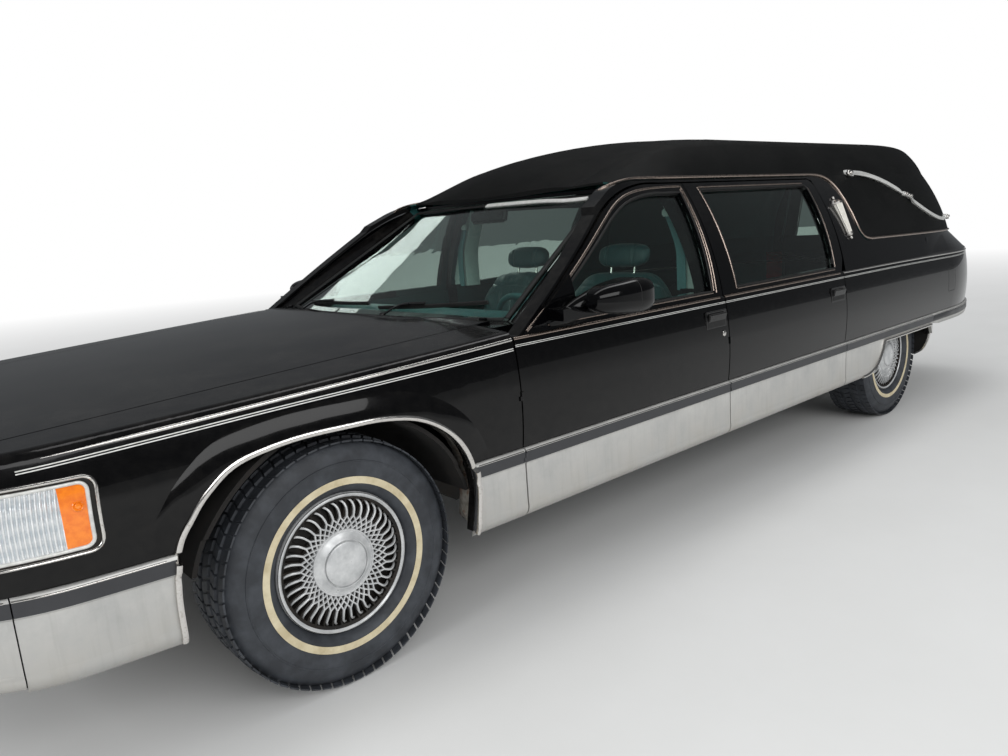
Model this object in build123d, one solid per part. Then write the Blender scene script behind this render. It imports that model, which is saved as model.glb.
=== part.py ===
from build123d import *
import os
from math import asin, cos, degrees, radians, sin, sqrt

# Hearse on a long-wheelbase sedan chassis, in millimetres.
# +X is forward, +Y is the driver's left, +Z is up, and the origin is on the ground under the
# middle of the car.

# Overall size
LENGTH = 6337.0
WIDTH = 1981.0
WHEELBASE = 3708.0
FRONT_OVERHANG = 1070.5
NOSE_X = LENGTH / 2
TAIL_X = -LENGTH / 2
HALF_W = WIDTH / 2
FRONT_AXLE_X = NOSE_X - FRONT_OVERHANG
REAR_AXLE_X = FRONT_AXLE_X - WHEELBASE

# Wheels
TYRE_R = 366.5
TYRE_W = 235.0
TRACK_FRONT = 1567.0
TRACK_REAR = 1542.0

# Heights of the side, from the ground
SILL_Z = 345.0
CLAD_TOP_Z = 570.0
BELT_Z = 935.0
BAND_Z = 1428.0
ROOF_Z = 1660.0

# Gaps and walls
DOOR_GAP = 6.0
SEAT_GAP = 0.3
DOOR_T = 112.0
FRAME_T = 42.0
PANEL_T = 55.0
GLASS_T = 5.0
FENDER_T = 32.0

# Seams along the car
DOOR_FRONT_X = FRONT_AXLE_X - 630.0
DOOR_MID_X = FRONT_AXLE_X - 1830.0
DOOR_REAR_X = FRONT_AXLE_X - 2910.0
FRAME_REAR_X = DOOR_REAR_X - 48.0
# The cabin's lengths are measured from a line this far behind the front axle
CABIN_X = FRONT_AXLE_X - 2098.0

# Hinges: a vertical line at each door's front edge, short barrels end to end on it
HINGE_Y = HALF_W + 0.5
HINGE_R = 2.0
HINGE_HALF = 14.0
DOOR_HINGE_Z = (541.0, 745.0)
HOOD_HINGE_X = CABIN_X + 1392.0
HOOD_HINGE_Z = 972.0
HOOD_HINGE_R = 6.0
TAILGATE_HINGE_X = TAIL_X + 95.5
TAILGATE_HINGE_Y = 563.0

# Plan radii of the tapering ends
NOSE_R = 12000.0
NOSE_CORNER_R = 900.0
NOSE_CORNER_X = NOSE_X - 448.5
TAIL_START_X = TAIL_X + 868.5
TAIL_R = 1500.0
ROOF_TAPER_X = TAIL_X + 1268.5
ROOF_TAPER_R = 2500.0


def outline(points, plane):
    """A face from a start point, then (a, b) for a line or (am, bm, a, b) for an arc."""
    edges = []
    here = points[0]
    for step in list(points[1:]) + [points[0]]:
        end = step[-2:]
        if len(step) == 4:
            edges.append(ThreePointArc(here, step[:2], end))
        elif abs(end[0] - here[0]) + abs(end[1] - here[1]) > 1e-6:
            edges.append(Line(here, end))
        here = end
    return plane * make_face(edges)


def moved(points, dx):
    """An outline shifted along its first axis."""
    return [tuple(v + dx if i % 2 == 0 else v for i, v in enumerate(p)) for p in points]


def section(points, x0, x1):
    """A (y, z) outline carried along X."""
    return extrude(outline(points, Plane.YZ.offset(x0)), x1 - x0)


def side_view(points, y0, y1):
    """An (x, z) outline carried along Y."""
    return extrude(outline(points, Plane.XZ.offset(-y1)), y1 - y0)


def plan_view(points, z0, z1):
    """An (x, y) outline carried along Z."""
    return extrude(outline(points, Plane.XY.offset(z0)), z1 - z0)


def block(x0, x1, y0, y1, z0, z1):
    return Pos((x0 + x1) / 2, (y0 + y1) / 2, (z0 + z1) / 2) * Box(x1 - x0, y1 - y0, z1 - z0)


def tube_y(radius, x, z, y0, y1, bore=0.0):
    """A round bar or ring with its axis along Y."""
    body = Cylinder(radius, y1 - y0)
    if bore:
        body -= Cylinder(bore, y1 - y0)
    return Pos(x, (y0 + y1) / 2, z) * Rot(90, 0, 0) * body


def rod(start, end, radius):
    """A round bar between two points."""
    a, b = Vector(*start), Vector(*end)
    return extrude(Plane(origin=a, z_dir=b - a) * Circle(radius), (b - a).length)


def other_side(shape):
    return mirror(shape, Plane.XZ)


def both(shape):
    return Compound([shape, other_side(shape)])


def ring(points, radius, cx, cy, a0, a1):
    """A (y, z) outline turned about the vertical line at (cx, cy), from a0 to a1 degrees."""
    face = Pos(0, radius - HALF_W, 0) * outline(points, Plane.YZ)
    low, high = min(a0, a1), max(a0, a1)
    return Pos(cx, cy, 0) * Rot(0, 0, low) * revolve(face, Axis.Z, high - low)


def end_arcs(ahead, side_r, start_x, turn, tip_x, face):
    """Plan arcs round an end: radius, centre x, centre y, first angle, last angle."""
    u, f = radians(turn), radians(face)
    out, across = side_r * sin(u), HALF_W - side_r + side_r * cos(u)
    lift = (1 - sin(f)) / cos(f)
    reach = abs(tip_x - start_x) - out - lift * across
    corner_r = reach / (sin(f) - sin(u) - lift * (cos(u) - cos(f)))
    corner_x = start_x + ahead * (out - corner_r * sin(u))
    corner_y = across - corner_r * cos(u)
    face_r = (corner_y + corner_r * cos(f)) / cos(f)
    return (
        (side_r, start_x, HALF_W - side_r, 0, -ahead * turn),
        (corner_r, corner_x, corner_y, -ahead * turn, -ahead * face),
        (face_r, tip_x - ahead * face_r, 0, -ahead * face, -ahead * 90),
    )


def wrap(points, arcs):
    """A (y, z) outline carried round an end of the car, left half."""
    pieces = [ring(points, *arc) for arc in arcs]
    body = pieces[0]
    for piece in pieces[1:]:
        body = body + piece
    return body


def plan_at(arc, inset, angle):
    """A point of a plan arc, drawn in by an inset."""
    radius, cx, cy = arc[0] - inset, arc[1], arc[2]
    a = radians(angle)
    return (cx - radius * sin(a), cy + radius * cos(a))


def end_plate(arcs, inset, inner_x, z0, z1):
    """A level plate over the whole end of the car, from inner_x to the tip."""
    left = [(inner_x, HALF_W - inset), (arcs[0][1], HALF_W - inset)]
    for arc in arcs:
        a0, a1 = arc[3], arc[4]
        left.append(plan_at(arc, inset, (a0 + a1) / 2) + plan_at(arc, inset, a1))
    plate = plan_view(left + [(inner_x, 0)], z0, z1)
    return plate + other_side(plate)


# The side glass and its frames lie on one arc, seen from the front.
GLASS_LOW = (955.0, 945.0)
GLASS_HIGH = (768.0, 1400.0)
GLASS_R = 1170.0
_chord = Vector(GLASS_HIGH[0] - GLASS_LOW[0], GLASS_HIGH[1] - GLASS_LOW[1])
_half = _chord.length / 2
_deep = sqrt(GLASS_R**2 - _half**2)
GLASS_CY = (GLASS_LOW[0] + GLASS_HIGH[0]) / 2 - _deep * _chord.Y / _chord.length
GLASS_CZ = (GLASS_LOW[1] + GLASS_HIGH[1]) / 2 + _deep * _chord.X / _chord.length


def glass_y(z, proud=0.0):
    """Half-width of the glasshouse at a height."""
    return GLASS_CY + sqrt((GLASS_R + proud) ** 2 - (z - GLASS_CZ) ** 2)


def glass_layer(x0, x1, z0, z1, proud, deep):
    """A layer of the glasshouse side between two depths."""
    zm = (z0 + z1) / 2
    return section(
        [
            (glass_y(z0, proud), z0),
            (glass_y(zm, proud), zm, glass_y(z1, proud), z1),
            (glass_y(z1, deep), z1),
            (glass_y(zm, deep), zm, glass_y(z0, deep), z0),
        ],
        x0,
        x1,
    )


# Painted side under the belt, as offsets from the widest line: a low, a middle and a top point.
SIDE_LOW = (-12.5, CLAD_TOP_Z + 2)
SIDE_MID = (-3.5, 745.0)
SIDE_TOP = (-24.5, BELT_Z - 10)
BELT_IN = -36.0
CLAD_SEAT = -20.5


def side_profile(depth, low=SILL_Z):
    """Painted side, with the recess that the lower cladding sits on."""
    w = HALF_W
    return [
        (w - depth, low),
        (w + CLAD_SEAT, low),
        (w + CLAD_SEAT, SIDE_LOW[1]),
        (w + SIDE_LOW[0], SIDE_LOW[1]),
        (w + SIDE_MID[0], SIDE_MID[1], w + SIDE_TOP[0], SIDE_TOP[1]),
        (w + BELT_IN, BELT_Z),
        (w - depth, BELT_Z),
    ]


def clad_profile(seat=0.0):
    """Lower cladding: a plain band, and a proud rub strip along its top."""
    w = HALF_W
    return [
        (w + CLAD_SEAT + seat, SILL_Z),
        (w - 30, SILL_Z - 12),
        (w - 10, SILL_Z + 6, w - 4.5, SILL_Z + 42),
        (w - 4.5, 519.0),
        (w, 524.0),
        (w, 560.0),
        (w - 4, 568.0),
        (w - 8, CLAD_TOP_Z),
        (w + CLAD_SEAT + seat, CLAD_TOP_Z),
    ]


# Front end: half-width at a station, and the heights of its shoulder and its middle.
NOSE_TURN = degrees(asin((NOSE_CORNER_X - DOOR_FRONT_X) / NOSE_R))
NOSE_CY = HALF_W - NOSE_R
_corner_y = NOSE_CY + NOSE_R * cos(radians(NOSE_TURN))
CORNER_CX = NOSE_CORNER_X - NOSE_CORNER_R * sin(radians(NOSE_TURN))
CORNER_CY = _corner_y - NOSE_CORNER_R * cos(radians(NOSE_TURN))
NOSE_FACE_X = NOSE_X - 96.5
SHOULDER_Z = ((DOOR_FRONT_X, 925.0), (NOSE_FACE_X, 842.0))
HOOD_Z = ((DOOR_FRONT_X, 996.0), (NOSE_FACE_X, 868.0))


def between(line, x):
    (xa, za), (xb, zb) = line
    return za + (zb - za) * (x - xa) / (xb - xa)


def nose_half(x):
    if x <= NOSE_CORNER_X:
        return NOSE_CY + sqrt(NOSE_R**2 - (x - DOOR_FRONT_X) ** 2)
    return CORNER_CY + sqrt(NOSE_CORNER_R**2 - (x - CORNER_CX) ** 2)


def nose_section(x, inset):
    """A whole front section, one closed outline across the car."""
    w = nose_half(x) - inset
    zs = between(SHOULDER_Z, x) - inset
    zc = between(HOOD_Z, x) - inset
    low = 352.0 - abs(inset)
    step_z = SIDE_LOW[1]
    right = [
        (w + CLAD_SEAT, low),
        (w + CLAD_SEAT, step_z),
        (w + SIDE_LOW[0], step_z),
        (w - 3.5, (step_z + zs) / 2 + 10, w + SIDE_TOP[0], zs),
        (w - 36, zs + 18, w - 62, zs + 27),
    ]
    points = list(right)
    points.append((0, zc, -(w - 62), zs + 27))
    points.append((-(w - 36), zs + 18, -(w + SIDE_TOP[0]), zs))
    points.append((-(w - 3.5), (step_z + zs) / 2 + 10, -(w + SIDE_LOW[0]), step_z))
    points.append((-(w + CLAD_SEAT), step_z))
    points.append((-(w + CLAD_SEAT), low))
    return outline(points, Plane.YZ.offset(x))


def nose_solid(inset, x0, x1):
    back = loft([nose_section(x, inset) for x in (x0, CABIN_X + 1880.0, CABIN_X + 2300.0, NOSE_CORNER_X)])
    front = loft([nose_section(x, inset) for x in (NOSE_CORNER_X, NOSE_X - 268.5, x1)])
    return back + front


# Roof: half-profile stations. Each takes width off both upper corners and sets the heights of
# the crown, of the corner beside it and of the edge where the glasshouse side begins.
ROOF_CORNER_Z = 1622.0


def roof_section(x, side_in, top_in, crown, corner, edge, inset, low, lean=0.0):
    """A whole roof section, closed straight across at its foot; lean tips its top forward."""
    trim = side_in + inset
    mid_z = (low + edge) / 2
    s = (corner - inset - edge) / (ROOF_CORNER_Z - BAND_Z)

    def up(z):
        return edge + (z - BAND_Z) * s

    points = [
        (glass_y(low, 3.0) - trim, low),
        (glass_y(mid_z, 3.0) - trim, mid_z, glass_y(edge, 3.0) - trim, edge),
        (706 - top_in - trim, up(1512.0), 642 - top_in - trim, up(1588.0)),
        (606 - top_in - trim, up(1611.0), 556 - top_in - trim, up(ROOF_CORNER_Z)),
    ]
    foot, side, shoulder, corner_at = points
    points.append((0, crown - inset, -corner_at[2], corner_at[3]))
    points.append((-corner_at[0], corner_at[1], -shoulder[2], shoulder[3]))
    points.append((-shoulder[0], shoulder[1], -side[2], side[3]))
    points.append((-side[0], side[1], -foot[0], foot[1]))
    return outline(points, Plane.YZ.offset(x)).rotate(Axis((x, 0, BELT_Z), (0, 1, 0)), lean)


def taper(x):
    """How far the roof has drawn in at a station behind the taper's start."""
    return ROOF_TAPER_R - sqrt(ROOF_TAPER_R**2 - (ROOF_TAPER_X - x) ** 2)


ROOF_TAIL_X = TAIL_X + 158.5
TAIL_LEAN = 8.0
ROOF_FLAT_X = CABIN_X - 200.0
# x from the cabin line, narrower at the top, crown, corner beside it, edge of the side
ROOF_FRONT = (
    (-200.0, 0, 1660.0, 1622.0, BAND_Z),
    (100.0, 0, 1642.0, 1601.0, BAND_Z),
    (300.0, 4, 1606.0, 1562.0, BAND_Z),
    (480.0, 14, 1560.0, 1500.0, BAND_Z),
    (640.0, 34, 1492.0, 1438.0, 1424.0),
    (745.0, 60, 1404.0, 1399.0, 1395.0),
)
# x from the taper's start, crown, corner
ROOF_BACK = (
    (0.0, 1660.0, 1622.0),
    (-300.0, 1659.0, 1621.0),
    (-600.0, 1656.0, 1618.0),
    (-880.0, 1651.0, 1613.0),
)


def roof_solid(inset, low):
    """The roof and the glasshouse under it as one solid."""
    flat = (0, 0, ROOF_Z, ROOF_CORNER_Z, BAND_Z, inset, low)
    middle = extrude(roof_section(ROOF_TAPER_X, *flat), ROOF_FLAT_X - ROOF_TAPER_X)
    back = loft(
        [
            roof_section(ROOF_TAPER_X + dx, taper(ROOF_TAPER_X + dx), 0, crown, corner, BAND_Z, inset, low)
            for dx, crown, corner in ROOF_BACK
        ]
    )
    x = ROOF_TAPER_X + ROOF_BACK[-1][0]
    late = taper(x - 150)
    end = loft(
        [
            roof_section(x, taper(x), 0, *ROOF_BACK[-1][1:], BAND_Z, inset, low),
            roof_section(x - 150, late + 8, 0, 1643.0, 1604.0, BAND_Z, inset, low, TAIL_LEAN * 0.6),
            roof_section(ROOF_TAIL_X + inset, late + 44, 0, 1612.0, 1568.0, BAND_Z, inset, low, TAIL_LEAN),
        ]
    )
    front = loft(
        [roof_section(CABIN_X + x, 0, top, crown, corner, edge, inset, low) for x, top, crown, corner, edge in ROOF_FRONT]
    )
    return middle + back + end + front


# Side-view outlines that split the body into its panels
DOOR_FRAME_FRONT = [
    (DOOR_FRONT_X - DOOR_GAP / 2, BELT_Z - 1),
    (CABIN_X + 1420.0, BELT_Z - 1),
    (CABIN_X + 888.0, 1287.0),
    (CABIN_X + 690.0, 1378.0, CABIN_X + 425.0, 1408.0),
    (DOOR_MID_X + DOOR_GAP / 2, 1408.0),
    (DOOR_MID_X + DOOR_GAP / 2, BELT_Z - 1),
]
DOOR_FRAME_REAR = [
    (DOOR_MID_X - DOOR_GAP / 2, BELT_Z - 1),
    (DOOR_MID_X - DOOR_GAP / 2, 1408.0),
    (CABIN_X - 800.0, 1408.0),
    (CABIN_X - 838.0, 1396.0, CABIN_X - 850.0, 1360.0),
    (CABIN_X - 840.0, 1000.0),
    (DOOR_REAR_X + DOOR_GAP / 2, BELT_Z - 1),
]
WINDOW_Z = (962.0, 1379.0)
WINDOW_FRONT = moved(
    [
        (1330.0, WINDOW_Z[0]),
        (868.0, 1250.0),
        (680.0, 1337.0, 425.0, 1369.0),
        (318.0, 1369.0),
        (345.0, WINDOW_Z[0]),
    ],
    CABIN_X,
)
WINDOW_REAR = moved(
    [
        (148.0, WINDOW_Z[0]),
        (165.0, WINDOW_Z[1]),
        (-735.0, WINDOW_Z[1]),
        (-752.0, 1372.0, -758.0, 1355.0),
        (-735.0, WINDOW_Z[0]),
    ],
    CABIN_X,
)
# Where the vinyl cover starts, along its bright band
BAND_LINE = moved(
    [
        (900.0, 1322.0),
        (770.0, 1386.0),
        (680.0, 1415.0, 540.0, BAND_Z),
        (-930.0, BAND_Z),
        (-1045.0, 1400.0, -1085.0, 1300.0),
        (-1098.0, 1180.0),
        (-1130.0, 1098.0, -1230.0, 1072.0),
    ],
    CABIN_X,
) + [(TAIL_X - 131.5, 1035.0), (TAIL_X - 131.5, 1800.0), (CABIN_X + 900.0, 1800.0)]


def wheel_arch_front():
    """Side view of the front opening: round over the wheel, straight legs."""
    x = FRONT_AXLE_X
    return [
        (x + 470, 250.0),
        (x + 470, 540.0),
        (x + 290, 765.0, x + 10, 785.0),
        (x - 300, 725.0, x - 427, 475.0),
        (x - 405, 345.0),
        (x - 400, 250.0),
    ]


def wheel_arch_rear():
    """Side view of the rear opening: a low flat top with flared legs."""
    x = REAR_AXLE_X
    return [
        (x + 640, 250.0),
        (x + 585, 342.0),
        (x + 400, 405.0, x + 335, 505.0),
        (x - 335, 505.0),
        (x - 400, 405.0, x - 560, 342.0),
        (x - 640, 250.0),
    ]


def front_door():
    """Left front door: a deep lower box and a slim window frame on its top."""
    x0, x1 = DOOR_MID_X + DOOR_GAP / 2, DOOR_FRONT_X - DOOR_GAP / 2
    lower = section(side_profile(DOOR_T), x0, x1)
    lower -= rear_edge_relief(x0)
    lower += hinge_halves(DOOR_FRONT_X, HINGE_Y, DOOR_HINGE_Z[1], 1, 12.0)[1]
    frame = glass_layer(x0, x1, BELT_Z - 1, 1408.0, 0, -FRAME_T)
    frame &= side_view(DOOR_FRAME_FRONT, 600, 1000)
    frame -= side_view(WINDOW_FRONT, 600, 1000)
    frame -= rear_frame_relief(x0)
    return lower + frame


def rear_door():
    x0, x1 = DOOR_REAR_X + DOOR_GAP / 2, DOOR_MID_X - DOOR_GAP / 2
    lower = section(side_profile(DOOR_T), x0, x1)
    lower -= rear_edge_relief(x0)
    lower += hinge_halves(DOOR_MID_X, HINGE_Y, DOOR_HINGE_Z[1], 1, 12.0)[1]
    frame = glass_layer(FRAME_REAR_X, x1, BELT_Z - 1, 1408.0, 0, -FRAME_T)
    frame &= side_view(DOOR_FRAME_REAR, 600, 1000)
    frame -= side_view(WINDOW_REAR, 600, 1000)
    return lower + frame


def barrel(x, y, z0, z1, radius):
    """A vertical hinge barrel."""
    return Pos(x, y, (z0 + z1) / 2) * Cylinder(radius, z1 - z0)


def hinge_halves(x, y, z, towards_x, depth, radius=HINGE_R):
    """Both halves of a short hinge: a fixed lower one and a moving upper one, 0.3 mm apart."""
    halves = []
    for side, z0, z1 in ((towards_x, z - HINGE_HALF, z - 0.15), (-towards_x, z + 0.15, z + HINGE_HALF)):
        leaf = block(min(x, x + side * 9), max(x, x + side * 9), y - depth, y + 1.5, z0, z1)
        halves.append(barrel(x, y, z0, z1, radius) + leaf)
    return halves


def rear_edge_relief(x):
    """The slanted shut face that lets a door's inner rear edge swing clear."""
    return plan_view(
        [(x - 1, HALF_W - 25), (x - 1, 700), (x + 32, 700), (x + 32, HALF_W - DOOR_T)],
        SILL_Z - 20,
        BELT_Z + 1,
    )


def rear_frame_relief(x):
    """The same slant on the inside of the window frame's rear edge."""
    cut = glass_layer(x - 1, x + 12, BELT_Z, 1500.0, -12, -FRAME_T - 5)
    return cut


def door_glass(window, x0, x1):
    """Side glass, a little larger than its opening and held in the frame."""
    pane = glass_layer(x0, x1, WINDOW_Z[0] + SEAT_GAP, WINDOW_Z[1] - SEAT_GAP, -16, -16 - GLASS_T)
    return pane & side_view(window, 600, 1000)


def door_clad(x0, x1):
    """Lower cladding of a door, with its half of the lower hinge."""
    hinge = hinge_halves(x1 + DOOR_GAP / 2, HINGE_Y, DOOR_HINGE_Z[0], 1, 6.0)[1]
    return section(clad_profile(), x0, x1) + hinge


# Plan arcs round the two ends, for the body and for the bumpers that stand proud of it
BODY_TAIL_X = TAIL_X + 79.5
BUMPER_SEAM_X = NOSE_X - 270.5
TAIL_TURN = 25.0
END_FACE = 85.0
BODY_TAIL = end_arcs(-1, TAIL_R, TAIL_START_X, TAIL_TURN, BODY_TAIL_X, END_FACE)
BUMPER_TAIL = end_arcs(-1, TAIL_R, TAIL_START_X, TAIL_TURN + 3, TAIL_X, END_FACE)
BUMPER_NOSE = end_arcs(1, NOSE_R, DOOR_FRONT_X, 6.2, NOSE_X, 82.0)
BUMPER_T = 78.0
PLATE_PITCH = 178.0
PLATE_Z = 470.0
PLATE_HOLE_R = 3.5
REAR_BUMPER_X = REAR_AXLE_X - 365.0

# Hood outline in plan: its rear corner, rear middle, front corner and front middle
HOOD_REAR_X = CABIN_X + 1400.0
HOOD_REAR_MID_X = CABIN_X + 1545.0
HOOD_REAR_Y = 775.0
HOOD_FRONT_X = NOSE_X - 178.5
HOOD_FRONT_MID_X = NOSE_X - 138.5
HOOD_FRONT_Y = 700.0
HOOD_GAP = 6.0

# Windscreen edges: lower and upper corner, and how far its middle stands ahead of them
SCREEN_LOW = (CABIN_X + 1346.0, 800.0, 960.0)
SCREEN_HIGH = (CABIN_X + 632.0, 648.0, 1388.0)
SCREEN_LOW_BOW = 150.0
SCREEN_HIGH_BOW = 85.0
SCREEN_DX = 12.0

# Headlamp and corner lamp
LAMP_REAR_X = NOSE_X - 460.5
LAMP_SPLIT_X = NOSE_X - 392.5
LAMP_Z = (640.0, 805.0)
LAMP_IN_Y = 455.0

# Floors
FLOOR_Z = 348.0
REAR_FLOOR_Z = 578.0
FLOOR_T = 18.0
DECK_Z = 665.0
DECK_T = 25.0
PIN_PITCH_X = 1800.0
PIN_PITCH_Y = 300.0
PIN_R = 8.0
DECK_FRONT_X = CABIN_X - 60.0
REAR_WALL_X = TAIL_X + 208.5
HEADER_TOP_Z = 1403.0
RAIL_Y = (360.0, 430.0)
TUNNEL_Y = 76.0
TUNNEL_Z = 412.0
SEAT_FOOT_Z = 420.0

# Steering wheel and the wall behind the engine
STEER_CENTRE = (CABIN_X + 838.0, 380.0, 825.0)
STEER_TILT = 25.0
STEER_HUB = 34.0
FIREWALL_X = CABIN_X + 1300.0
GEARBOX_X = CABIN_X + 1120.0

# Suspension and steering
KINGPIN_Y = 705.0
SPINDLE_R = 30.0
BORE_CLEAR = 0.05
SPINDLE_OUT = 70.0
HUB_IN = 42.0
LINER_R = 440.0
LINER_T = 12.0


def front_shell():
    """Hollow front body, from the doors to the nose."""
    outer = nose_solid(0.0, HOOD_REAR_X - 10, NOSE_FACE_X)
    inner = nose_solid(FENDER_T, HOOD_REAR_X - 20, NOSE_FACE_X - 25)
    return outer - inner


def hood_outline(grow):
    g = grow
    return [
        (HOOD_REAR_X - g, HOOD_REAR_Y + g),
        (HOOD_REAR_MID_X - g, 0, HOOD_REAR_X - g, -HOOD_REAR_Y - g),
        (HOOD_FRONT_X + 2 * g, -HOOD_FRONT_Y - g),
        (HOOD_FRONT_MID_X + 2 * g, 0, HOOD_FRONT_X + 2 * g, HOOD_FRONT_Y + g),
    ]


def front_body(parts):
    """Hood, fenders and lamps, all cut from one shell."""
    shell = front_shell()
    x, z = HOOD_HINGE_X, HOOD_HINGE_Z
    lug = tube_y(HOOD_HINGE_R, x, z, 715, 730.7) + block(x, x + 34, 715, 730.7, z - 12, z - 1)
    parts["hood"] = (shell & plan_view(hood_outline(0), 700, 1100)) + both(lug)
    rest = shell - plan_view(hood_outline(HOOD_GAP), 700, 1100)
    rest -= block(FIREWALL_X, DOOR_FRONT_X + DOOR_GAP / 2, -1100, 1100, 200, 1100)
    rest -= block(FIREWALL_X, HOOD_REAR_MID_X + 10, -HOOD_REAR_Y + 8, HOOD_REAR_Y - 8, 800, 1100)
    rest -= side_view(wheel_arch_front(), -1100, 1100)
    lamps = block(LAMP_SPLIT_X, NOSE_X - 68.5, LAMP_IN_Y, 1000, *LAMP_Z)
    corners = block(LAMP_REAR_X, LAMP_SPLIT_X, 800, 1000, *LAMP_Z)
    parts["headlamps"] = rest & both(lamps)
    parts["corner_lamps"] = rest & both(corners)
    rest -= both(lamps)
    rest -= both(corners)
    # behind the bumper and the cladding the shell ends at the bumper's top
    rest -= block(BUMPER_SEAM_X, NOSE_X + 30, -1100, 1100, 300, CLAD_TOP_Z + 2)
    parts["front_fenders"] = rest + both(hinge_halves(DOOR_FRONT_X, HINGE_Y, DOOR_HINGE_Z[1], 1, 12.0)[0])


def screen_arc(z, dx, grow=0.0):
    """Corner, middle and corner of the windscreen at one height, shifted along X by dx."""
    s = (z - SCREEN_LOW[2]) / (SCREEN_HIGH[2] - SCREEN_LOW[2])
    x = SCREEN_LOW[0] + (SCREEN_HIGH[0] - SCREEN_LOW[0]) * s + dx
    y = SCREEN_LOW[1] + (SCREEN_HIGH[1] - SCREEN_LOW[1]) * s + grow
    bow = SCREEN_LOW_BOW + (SCREEN_HIGH_BOW - SCREEN_LOW_BOW) * s
    return x, y, bow


def screen_face(z, front, back, grow=0.0):
    xf, y, bow = screen_arc(z, front, grow)
    xb = xf - front + back
    return outline([(xf, y), (xf + bow, 0, xf, -y), (xb, -y), (xb + bow, 0, xb, y)], Plane.XY.offset(z))


def windshield():
    low, high = SCREEN_LOW[2], SCREEN_HIGH[2]
    return loft([screen_face(low, 0, -SCREEN_DX), screen_face(high, 0, -SCREEN_DX)], ruled=True)


DOOR_HOLE = moved(
    [
        (1485.0, BELT_Z - 5),
        (1431.0, BELT_Z - 5),
        (894.0, 1296.0),
        (694.0, 1386.0, 425.0, 1414.0),
        (-800.0, 1414.0),
        (-842.0, 1402.0, -856.0, 1362.0),
        (-846.0, 1000.0),
        (-818.0, BELT_Z - 5),
    ],
    CABIN_X,
)
RAIL_ZONE = moved(
    [
        (-853.0, 1405.0),
        (-853.0, BAND_Z + 20),
        (800.0, BAND_Z + 20),
        (905.0, 1300.0),
        (1436.0, BELT_Z),
        (1380.0, BELT_Z),
        (860.0, 1290.0),
        (640.0, 1380.0, 425.0, 1405.0),
    ],
    CABIN_X,
)


def pillar_face(z, x_door, x_screen, y_screen):
    y = glass_y(z)
    return outline(
        [(x_door, y), (x_screen, y_screen), (x_screen - 70, y_screen - 4), (x_door - 75, y - 62)],
        Plane.XY.offset(z),
    )


def body_frame():
    """Windscreen pillars, roof rails, door posts, sills, header and cowl."""
    rear_x = DOOR_REAR_X - 41
    skin = glass_layer(rear_x, DOOR_FRONT_X + 12, BELT_Z, BAND_Z, 0, -58) & side_view(RAIL_ZONE, 500, 1000)
    skin -= side_view(DOOR_HOLE, 500, 1000)
    skin -= side_view(BAND_LINE, 500, 1000)
    low_x, low_y, _ = screen_arc(BELT_Z, 0)
    high_x, high_y, _ = screen_arc(HEADER_TOP_Z, 0)
    pillar = loft(
        [
            pillar_face(BELT_Z, CABIN_X + 1436.0, low_x - 14, low_y + 4),
            pillar_face(HEADER_TOP_Z, CABIN_X + 707.0, high_x - 14, high_y + 4),
        ],
        ruled=True,
    )
    opening = side_view(DOOR_HOLE, 500, 1000)
    pillar -= glass_layer(CABIN_X + 300, CABIN_X + 1500, BELT_Z - 5, 1420, 20, -FRAME_T - 8) & opening
    inner_rail = glass_layer(rear_x, CABIN_X + 560, 1396, BAND_Z, -54, -104)
    post_high = glass_layer(DOOR_MID_X - 48, DOOR_MID_X + 48, BELT_Z + 6, BAND_Z, -60, -104)
    post_low = block(DOOR_MID_X - 56, DOOR_MID_X + 56, 780, 866, SILL_Z, BELT_Z + 30)
    hinge_post = block(DOOR_FRONT_X - 123, DOOR_FRONT_X - 6, 780, 866, SILL_Z, BELT_Z)
    sill = block(REAR_AXLE_X + 430, DOOR_FRONT_X - 6, 742, 866, SILL_Z, 468)
    side = skin + pillar + inner_rail + post_high + post_low + hinge_post + sill
    for z in DOOR_HINGE_Z:
        plate = block(DOOR_MID_X - 1.2, DOOR_MID_X + 1.2, 860, HINGE_Y, z - HINGE_HALF, z - 0.15)
        side += plate + barrel(DOOR_MID_X, HINGE_Y, z - HINGE_HALF, z - 0.15, HINGE_R)
    header = plan_view(
        moved([(645, 655), (645 + SCREEN_HIGH_BOW, 0, 645, -655), (545, -690), (600, 0, 545, 690)], CABIN_X),
        SCREEN_HIGH[2] + SEAT_GAP,
        HEADER_TOP_Z,
    )
    cowl = plan_view(
        moved(
            [(1292, 866), (1464, 866), (1464, 783), (1390, 783)]
            + [(1536, 0, 1390, -783), (1464, -783), (1464, -866), (1292, -866)],
            CABIN_X,
        ),
        BELT_Z,
        SCREEN_LOW[2] - SEAT_GAP,
    )
    x, z = HOOD_HINGE_X, HOOD_HINGE_Z
    lug = tube_y(HOOD_HINGE_R, x, z, 731, 745) + block(x - 5, x + 5, 731, 745, SCREEN_LOW[2] - 5, z)
    cowl += both(lug)
    firewall = block(FIREWALL_X, FIREWALL_X + 18, -866, 866, FLOOR_Z, BELT_Z)
    firewall -= block(FIREWALL_X - 1, FIREWALL_X + 19, -TUNNEL_Y + 12, TUNNEL_Y - 12, FLOOR_Z - 1, TUNNEL_Z - 12)
    return side + other_side(side) + header + cowl + firewall


TAILGATE_HOLE = [
    (566.0, 597.0),
    (566.0, 960.0),
    (423.0, 1514.0),
    (-423.0, 1514.0),
    (-566.0, 960.0),
    (-566.0, 597.0),
]
TAILGATE_EDGE = [
    (560.0, 603.0),
    (560.0, 960.0),
    (414.0, 1506.0),
    (-414.0, 1506.0),
    (-560.0, 960.0),
    (-560.0, 603.0),
]
TAILGATE_WINDOW = [
    (440.0, 1035.0),
    (350.0, 1400.0),
    (-350.0, 1400.0),
    (-440.0, 1035.0),
]


SHOULDER_TOP_Z = 1034.0
PAINT_IN = 3.0


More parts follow.
